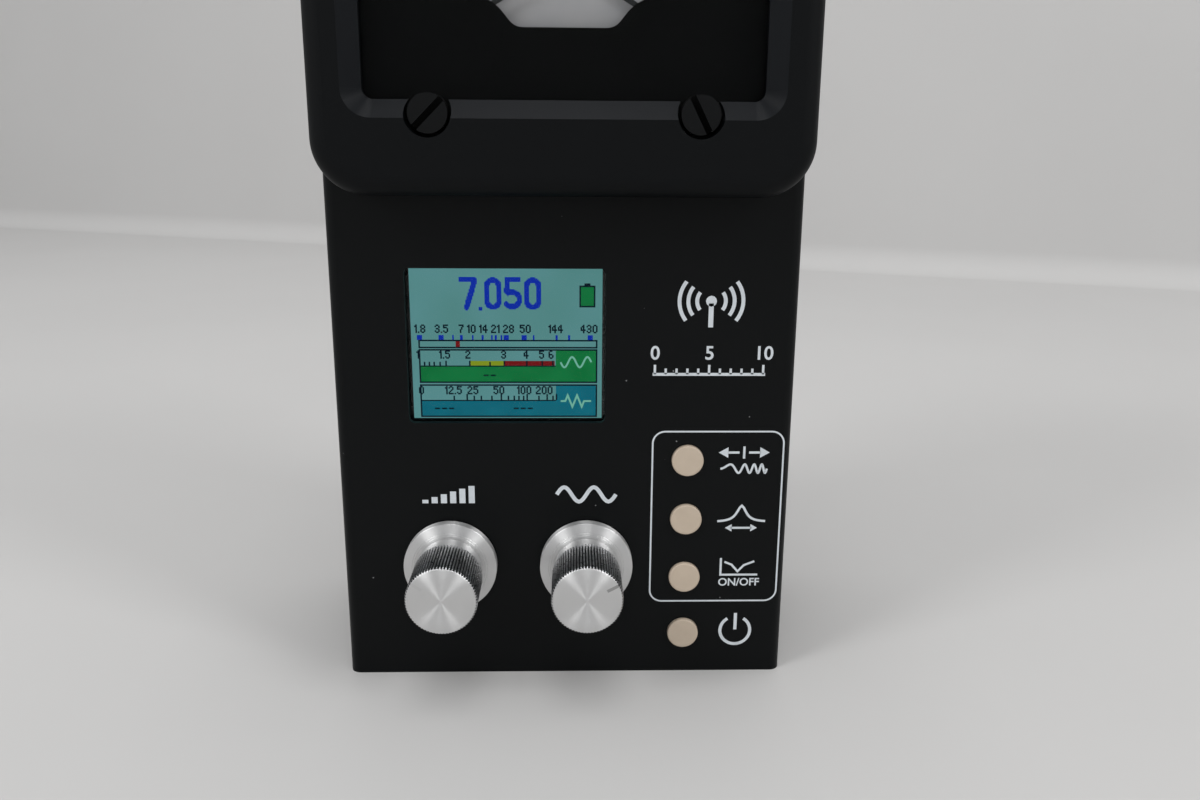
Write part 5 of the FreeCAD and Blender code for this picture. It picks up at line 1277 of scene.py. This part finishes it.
def tick_tree():
    """Bars round an arc: count, radius, first and last angle, width and length."""
    tree = bpy.data.node_groups.new("dial_ticks", "GeometryNodeTree")
    tree.interface.new_socket("Geometry", in_out="INPUT", socket_type="NodeSocketGeometry")
    names = {
        "Count": ("NodeSocketInt", 11), "Radius": ("NodeSocketFloat", 0.04),
        "First Angle": ("NodeSocketFloat", 0.0), "Last Angle": ("NodeSocketFloat", 1.0),
        "Width": ("NodeSocketFloat", 0.0003), "Length": ("NodeSocketFloat", 0.002),
        "Centre": ("NodeSocketVector", (0, 0, 0)), "Ink": ("NodeSocketMaterial", None),
    }
    sockets = {name: input_socket(tree, name, *spec) for name, spec in names.items()}
    tree.interface.new_socket("Geometry", in_out="OUTPUT", socket_type="NodeSocketGeometry")
    given = add_node(tree, "NodeGroupInput").outputs
    line = add_node(tree, "GeometryNodeMeshLine", {"mode": "OFFSET"}, {"Count": given["Count"]})
    index = add_node(tree, "GeometryNodeInputIndex")
    last = add_node(tree, "ShaderNodeMath", {"operation": "SUBTRACT"}, {0: given["Count"], 1: 1.0})
    share = add_node(tree, "ShaderNodeMath", {"operation": "DIVIDE"},
                     {0: index.outputs["Index"], 1: last.outputs["Value"]})
    angle = add_node(tree, "ShaderNodeMapRange", None,
                     {"Value": share.outputs["Value"], "To Min": given["First Angle"],
                      "To Max": given["Last Angle"]})
    cosine = add_node(tree, "ShaderNodeMath", {"operation": "COSINE"},
                      {0: angle.outputs["Result"]})
    sine_node = add_node(tree, "ShaderNodeMath", {"operation": "SINE"},
                         {0: angle.outputs["Result"]})
    way = add_node(tree, "ShaderNodeCombineXYZ", None,
                   {"X": cosine.outputs["Value"], "Z": sine_node.outputs["Value"]})
    out = add_node(tree, "ShaderNodeVectorMath", {"operation": "SCALE"},
                   {0: way.outputs["Vector"], "Scale": given["Radius"]})
    place = add_node(tree, "ShaderNodeVectorMath", {"operation": "ADD"},
                     {0: out.outputs["Vector"], 1: given["Centre"]})
    moved = add_node(tree, "GeometryNodeSetPosition", None,
                     {"Geometry": line.outputs["Mesh"], "Position": place.outputs["Vector"]})
    bar = add_node(tree, "GeometryNodeMeshGrid", None,
                   {"Size X": given["Length"], "Size Y": given["Width"],
                    "Vertices X": 2, "Vertices Y": 2})
    stood = add_node(tree, "GeometryNodeTransform", None,
                     {"Geometry": bar.outputs["Mesh"], "Rotation": (math.pi / 2, 0, 0)})
    back = add_node(tree, "ShaderNodeMath", {"operation": "MULTIPLY"},
                    {0: angle.outputs["Result"], 1: -1.0})
    turn = add_node(tree, "ShaderNodeCombineXYZ", None, {"Y": back.outputs["Value"]})
    bars = add_node(tree, "GeometryNodeInstanceOnPoints", None,
                    {"Points": moved.outputs["Geometry"], "Instance": stood.outputs["Geometry"],
                     "Rotation": turn.outputs["Vector"]})
    real = add_node(tree, "GeometryNodeRealizeInstances", None,
                    {"Geometry": bars.outputs["Instances"]})
    inked = add_node(tree, "GeometryNodeSetMaterial", None,
                     {"Geometry": real.outputs["Geometry"], "Material": given["Ink"]})
    add_node(tree, "NodeGroupOutput", None, {"Geometry": inked.outputs["Geometry"]})
    return tree, sockets


def grown(name, tree, sockets, values, base=None):
    """Runs a Geometry Nodes tree on a base mesh and keeps its result as a plain mesh."""
    seed = placed(name + "_seed", base or bpy.data.meshes.new(name + "_seed"))
    modifier = seed.modifiers.new("nodes", "NODES")
    modifier.node_group = tree
    for title, value in values.items():
        modifier[sockets[title]] = value
    return baked(seed, name)


def dial_ink(name, colour, other):
    """Printer's ink on card."""
    material, tree, shader = new_material(name, colour, 0.55)
    vary_colour(tree, shader, 2 * MM, colour, other)
    add_grain(tree, shader, 0.1 * MM, 0.001 * MM)
    return material


black_ink = dial_ink("black_dial_ink", "#101014", "#16161a")
red_ink = dial_ink("red_dial_ink", "#a0201c", "#961c1a")
ticks, tick_sockets = tick_tree()
for side, sign in (("left", -1), ("right", 1)):
    first = math.radians(REST_ANGLE if sign < 0 else 180 - REST_ANGLE)
    last = math.radians(REST_ANGLE + TRAVEL if sign < 0 else 180 - REST_ANGLE - TRAVEL)
    for kind, count, length, width in (("long", 11, 2.6, 0.32), ("short", 51, 1.3, 0.2)):
        piece = grown(
            "%s_scale_%s_ticks" % (side, kind), ticks, tick_sockets,
            {"Count": count, "Radius": (SCALE_RADIUS + length / 2) * MM, "First Angle": first,
             "Last Angle": last, "Width": width * MM, "Length": length * MM,
             "Centre": (sign * PIVOT_X * MM, INK_ON_DIAL, PIVOT_Z * MM), "Ink": black_ink},
        )
        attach(piece, "case")
        print(piece.name, len(piece.data.polygons), "bars")

# %% [markdown]
# The arcs, figures and ratio lines lie on the card too. A line of equal ratio joins the
# places where the needles cross while one reading stays a fixed share of the other.

# %% Dial arcs, figures and ratio lines
FIGURE_RADIUS = SCALE_RADIUS + 4.6
CARD_HALF_WIDTH, CARD_TOP = 31.5, 169
FIELD_HALF_WIDTH, FIELD_LOW, FIELD_TOP = 31, 130, 167
# Reflected over forward power, for standing wave ratios of 1.5, 2, 3 and 5.
POWER_SHARES = (0.04, 0.11, 0.25, 0.44)


def needle_tip(sign, share):
    """A needle's direction angle in degrees at a share of its travel."""
    angle = REST_ANGLE + TRAVEL * share
    return angle if sign < 0 else 180 - angle


def crossing(left_share, right_share):
    """Where the two needles cross."""
    a = math.radians(needle_tip(-1, left_share))
    b = math.radians(needle_tip(1, right_share))
    reach = 2 * PIVOT_X / (math.cos(a) - math.sin(a) * math.cos(b) / math.sin(b))
    return (-PIVOT_X + reach * math.cos(a), PIVOT_Z + reach * math.sin(a))


def dial_lines():
    """Both arcs and their figures."""
    faces = []
    for sign in (-1, 1):
        ends = (needle_tip(sign, 0), needle_tip(sign, 1))
        faces += ribbon(arc(sign * PIVOT_X, PIVOT_Z, SCALE_RADIUS, *ends, 48), 0.28)
        for step in range(0, 11, 2):
            angle = needle_tip(sign, step / 10)
            x = sign * PIVOT_X + FIGURE_RADIUS * math.cos(math.radians(angle))
            z = PIVOT_Z + FIGURE_RADIUS * math.sin(math.radians(angle))
            if abs(x) < CARD_HALF_WIDTH and z < CARD_TOP:
                faces += lettering(str(step), 2.3, x, z, angle - 90)
    return faces


def ratio_lines():
    """Lines of equal ratio between the two readings."""
    faces = []
    for power_share in POWER_SHARES:
        points = [crossing(step / 24, step / 24 * power_share) for step in range(5, 25)]
        inside = [
            p for p in points
            if FIELD_LOW < p[1] < FIELD_TOP and abs(p[0]) < FIELD_HALF_WIDTH
        ]
        if len(inside) > 2:
            faces += ribbon(inside, 0.3)
    return faces


flat_piece("dial_scales", dial_lines(), INK_ON_DIAL, black_ink)
flat_piece("dial_ratio_lines", ratio_lines(), INK_ON_DIAL - 0.01 * MM, red_ink)
print("dial printed")

# %% [markdown]
# The screws outside are pan heads with a cross recess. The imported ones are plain, so a
# detailed screw takes the place of each. It is a profile spun about Z, from which a Boolean
# modifier cuts a tapered cross, since a bump alone would leave the heads flat in the mesh.

# %% One screw
HEAD_RADIUS = 2.8 * MM
HEAD_HEIGHT = 1.9 * MM
HEAD_ROUNDING = 0.9 * MM
SHANK_RADIUS = 1.5 * MM


def pan_screw(name, shank):
    """A pan-head screw about Z with a cross recess, its seat at Z = 0."""
    mesh = bmesh.new()
    profile = [(0.0, -shank), (SHANK_RADIUS, -shank), (SHANK_RADIUS, 0), (HEAD_RADIUS, 0)]
    for step in range(9):
        angle = math.radians(90 * step / 8)
        profile.append((
            HEAD_RADIUS - HEAD_ROUNDING * (1 - math.cos(angle)),
            HEAD_HEIGHT - HEAD_ROUNDING * (1 - math.sin(angle)),
        ))
    profile.append((0.0, HEAD_HEIGHT))
    corners = [mesh.verts.new((r, 0, z)) for r, z in profile]
    edges = [mesh.edges.new(pair) for pair in zip(corners, corners[1:])]
    bmesh.ops.spin(
        mesh, geom=corners + edges, cent=(0, 0, 0), axis=(0, 0, 1), angle=2 * math.pi,
        steps=32, use_merge=True,
    )
    bmesh.ops.remove_doubles(mesh, verts=mesh.verts, dist=0.001 * MM)
    bmesh.ops.recalc_face_normals(mesh, faces=mesh.faces)
    screw = finished(mesh, name + "_plain", smooth_angle=35)
    cutter = cross_cutter(name + "_cutter")
    cut = screw.modifiers.new("recess", "BOOLEAN")
    cut.operation = "DIFFERENCE"
    cut.object = cutter
    cut.solver = "EXACT"
    return baked(screw, name, cutter)


def cross_cutter(name):
    """A tapered cross, as a screwdriver's tip."""
    mesh = bmesh.new()
    low, high = HEAD_HEIGHT - 1.25 * MM, HEAD_HEIGHT + 0.3 * MM
    rings = []
    for z, reach, half in ((low, 0.55 * MM, 0.22 * MM), (high, 1.75 * MM, 0.34 * MM)):
        quarter = [(reach, -half), (reach, half), (half, half)]
        ring = []
        for turn in range(4):
            about = Matrix.Rotation(turn * math.pi / 2, 2)
            ring += [about @ Vector(corner) for corner in quarter]
        rings.append([mesh.verts.new((corner.x, corner.y, z)) for corner in ring])
    for index in range(12):
        after = (index + 1) % 12
        mesh.faces.new((rings[0][index], rings[0][after], rings[1][after], rings[1][index]))
    mesh.faces.new(rings[0])
    mesh.faces.new(rings[1])
    bmesh.ops.recalc_face_normals(mesh, faces=mesh.faces)
    return finished(mesh, name)


print("screw head: %.1f mm wide" % (2 * HEAD_RADIUS / MM))

# %% [markdown]
# Copies could be placed in a loop. Geometry Nodes do it in one step from a mesh of places
# and give every screw its own turn from a fixed seed, so that the crosses don't line up.

# %% Screws in their places
def screw_tree():
    """A unit piece on every vertex of the base mesh, each with its own turn."""
    tree = bpy.data.node_groups.new("screw_places", "GeometryNodeTree")
    tree.interface.new_socket("Geometry", in_out="INPUT", socket_type="NodeSocketGeometry")
    sockets = {
        "Unit": input_socket(tree, "Unit", "NodeSocketObject", None),
        "Finish": input_socket(tree, "Finish", "NodeSocketMaterial", None),
        "Seed": input_socket(tree, "Seed", "NodeSocketInt", 3),
    }
    tree.interface.new_socket("Geometry", in_out="OUTPUT", socket_type="NodeSocketGeometry")
    given = add_node(tree, "NodeGroupInput").outputs
    unit = add_node(tree, "GeometryNodeObjectInfo", None, {"Object": given["Unit"]})
    spin = add_node(tree, "FunctionNodeRandomValue", {"data_type": "FLOAT"},
                    {"Min": 0.0, "Max": math.pi / 2, "Seed": given["Seed"]})
    own = add_node(tree, "ShaderNodeCombineXYZ", None, {"Z": spin.outputs[1]})
    copies = add_node(tree, "GeometryNodeInstanceOnPoints", None,
                      {"Points": given["Geometry"], "Instance": unit.outputs["Geometry"],
                       "Rotation": own.outputs["Vector"]})
    real = add_node(tree, "GeometryNodeRealizeInstances", None,
                    {"Geometry": copies.outputs["Instances"]})
    coated = add_node(tree, "GeometryNodeSetMaterial", None,
                      {"Geometry": real.outputs["Geometry"], "Material": given["Finish"]})
    add_node(tree, "NodeGroupOutput", None, {"Geometry": coated.outputs["Geometry"]})
    return tree, sockets


def screw_set(name, node, places, shank, finish, along_y=False):
    """Screws at places (x, y, z of the seat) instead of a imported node."""
    unit = pan_screw(name + "_unit", shank)
    flat = Matrix.Rotation(math.radians(90), 4, "X") if along_y else Matrix.Identity(4)
    base = bpy.data.meshes.new(name + "_places")
    base.from_pydata([flat @ Vector(p) for p in places], [], [])
    piece = grown(name, screw_places, screw_sockets, {"Unit": unit, "Finish": finish}, base)
    piece.data.transform(flat.inverted())
    bpy.data.objects.remove(unit)
    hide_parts(node)
    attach(piece, "case")
    return piece


screw_places, screw_sockets = screw_tree()
cover_low, cover_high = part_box("back_cover_screws")
cover_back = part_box("back_cover")[1].y
cover_places = [
    (x, cover_back, z)
    for x in (cover_low.x + HEAD_RADIUS, cover_high.x - HEAD_RADIUS)
    for z in (cover_low.z + HEAD_RADIUS, cover_high.z - HEAD_RADIUS)
]
screws = screw_set("cover_cross_screws", "back_cover_screws", cover_places,
                   cover_back - cover_low.y, black_oxide, along_y=True)
print(screws.name, len(screws.data.polygons), "faces")

JACK_SCREW_HALF = 9.1 * MM
jack_screw_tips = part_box("jack_screws")[0].z
jack_places = [
    (axis_of(node).x + a * JACK_SCREW_HALF, axis_of(node).y + b * JACK_SCREW_HALF, JACK_FLANGE_TOP)
    for node in ("uhf_jack_shell", "n_jack_shell") for a in (-1, 1) for b in (-1, 1)
]
screws = screw_set("jack_cross_screws", "jack_screws", jack_places,
                   JACK_FLANGE_TOP - jack_screw_tips, zinc)
print(screws.name, len(screws.data.polygons), "faces")

# %% [markdown]
# The studio is a pale table that runs up into a pale wall, as a paper roll does. Its foot
# lies where the photograph shows it. An HDR picture could light it, but a long soft box
# overhead, a soft one at each side and an even world need no file and light it plainly.

# %% Stage
WALL_DISTANCE, COVE_RADIUS, WALL_TURN = 0.62, 0.02, math.radians(-22)
SWEEP_WIDTH, SWEEP_FRONT, SWEEP_HEIGHT = 8.0, -3.0, 2.5


def paper(name, colour):
    """Matt paper with a faint broad mottle."""
    material, tree, shader = new_material(name, colour, 0.9, **{"Specular IOR Level": 0.2})
    vary_colour(tree, shader, 0.25, colour, "#c9c8c7")
    return material


def sweep_mesh(name):
    """Floor, cove and wall as one bent sheet, turned about Z."""
    mesh = bmesh.new()
    line = [(SWEEP_FRONT, 0.0)]
    line += [
        (WALL_DISTANCE - COVE_RADIUS + COVE_RADIUS * math.sin(math.radians(a)),
         COVE_RADIUS - COVE_RADIUS * math.cos(math.radians(a))) for a in range(0, 91, 10)
    ]
    line.append((WALL_DISTANCE, SWEEP_HEIGHT))
    rows = [
        [mesh.verts.new((side * SWEEP_WIDTH / 2, y, z)) for side in (-1, 1)] for y, z in line
    ]
    for a, b in zip(rows, rows[1:]):
        mesh.faces.new((a[0], a[1], b[1], b[0]))
    bmesh.ops.rotate(mesh, verts=mesh.verts, matrix=Matrix.Rotation(WALL_TURN, 3, "Z"))
    return finished(mesh, name, smooth_angle=40)


stage = sweep_mesh("paper_sweep")
stage.data.materials.append(paper("pale_paper", "#c6c5c4"))
print("paper sweep:", len(stage.data.polygons), "faces")

# %% [markdown]
# The lamps are set so that a colour renders about as it is written. The side boxes stand
# forward, where they draw the fans of light on the turned knobs.

# %% Light
def soft_box(name, place, target, width, height, power):
    """A rectangular lamp that faces a target. Sizes in metres, power in watts."""
    light = bpy.data.lights.new(name, "AREA")
    light.shape = "RECTANGLE"
    light.size, light.size_y = width, height
    light.energy = power
    lamp = placed(name, light)
    lamp.location = place
    lamp.rotation_mode = "QUATERNION"
    lamp.rotation_quaternion = (Vector(target) - Vector(place)).to_track_quat("-Z", "Y")
    return lamp


middle = (0, 0, 0.08)
soft_box("overhead_soft_box", (0.0, -0.15, 1.5), middle, 0.5, 1.4, 6.5)
soft_box("left_soft_box", (-1.0, -0.7, 0.9), middle, 0.4, 0.6, 5.5)
soft_box("right_soft_box", (1.0, -0.7, 0.9), middle, 0.4, 0.6, 5.5)
world = bpy.data.worlds.new("studio")
bpy.context.scene.world = world
world.use_nodes = True
background = world.node_tree.nodes["Background"]
background.inputs["Color"].default_value = linear("#dadbdc")
background.inputs["Strength"].default_value = 0.80
bpy.context.scene.view_settings.view_transform = "Standard"
print("studio lit")
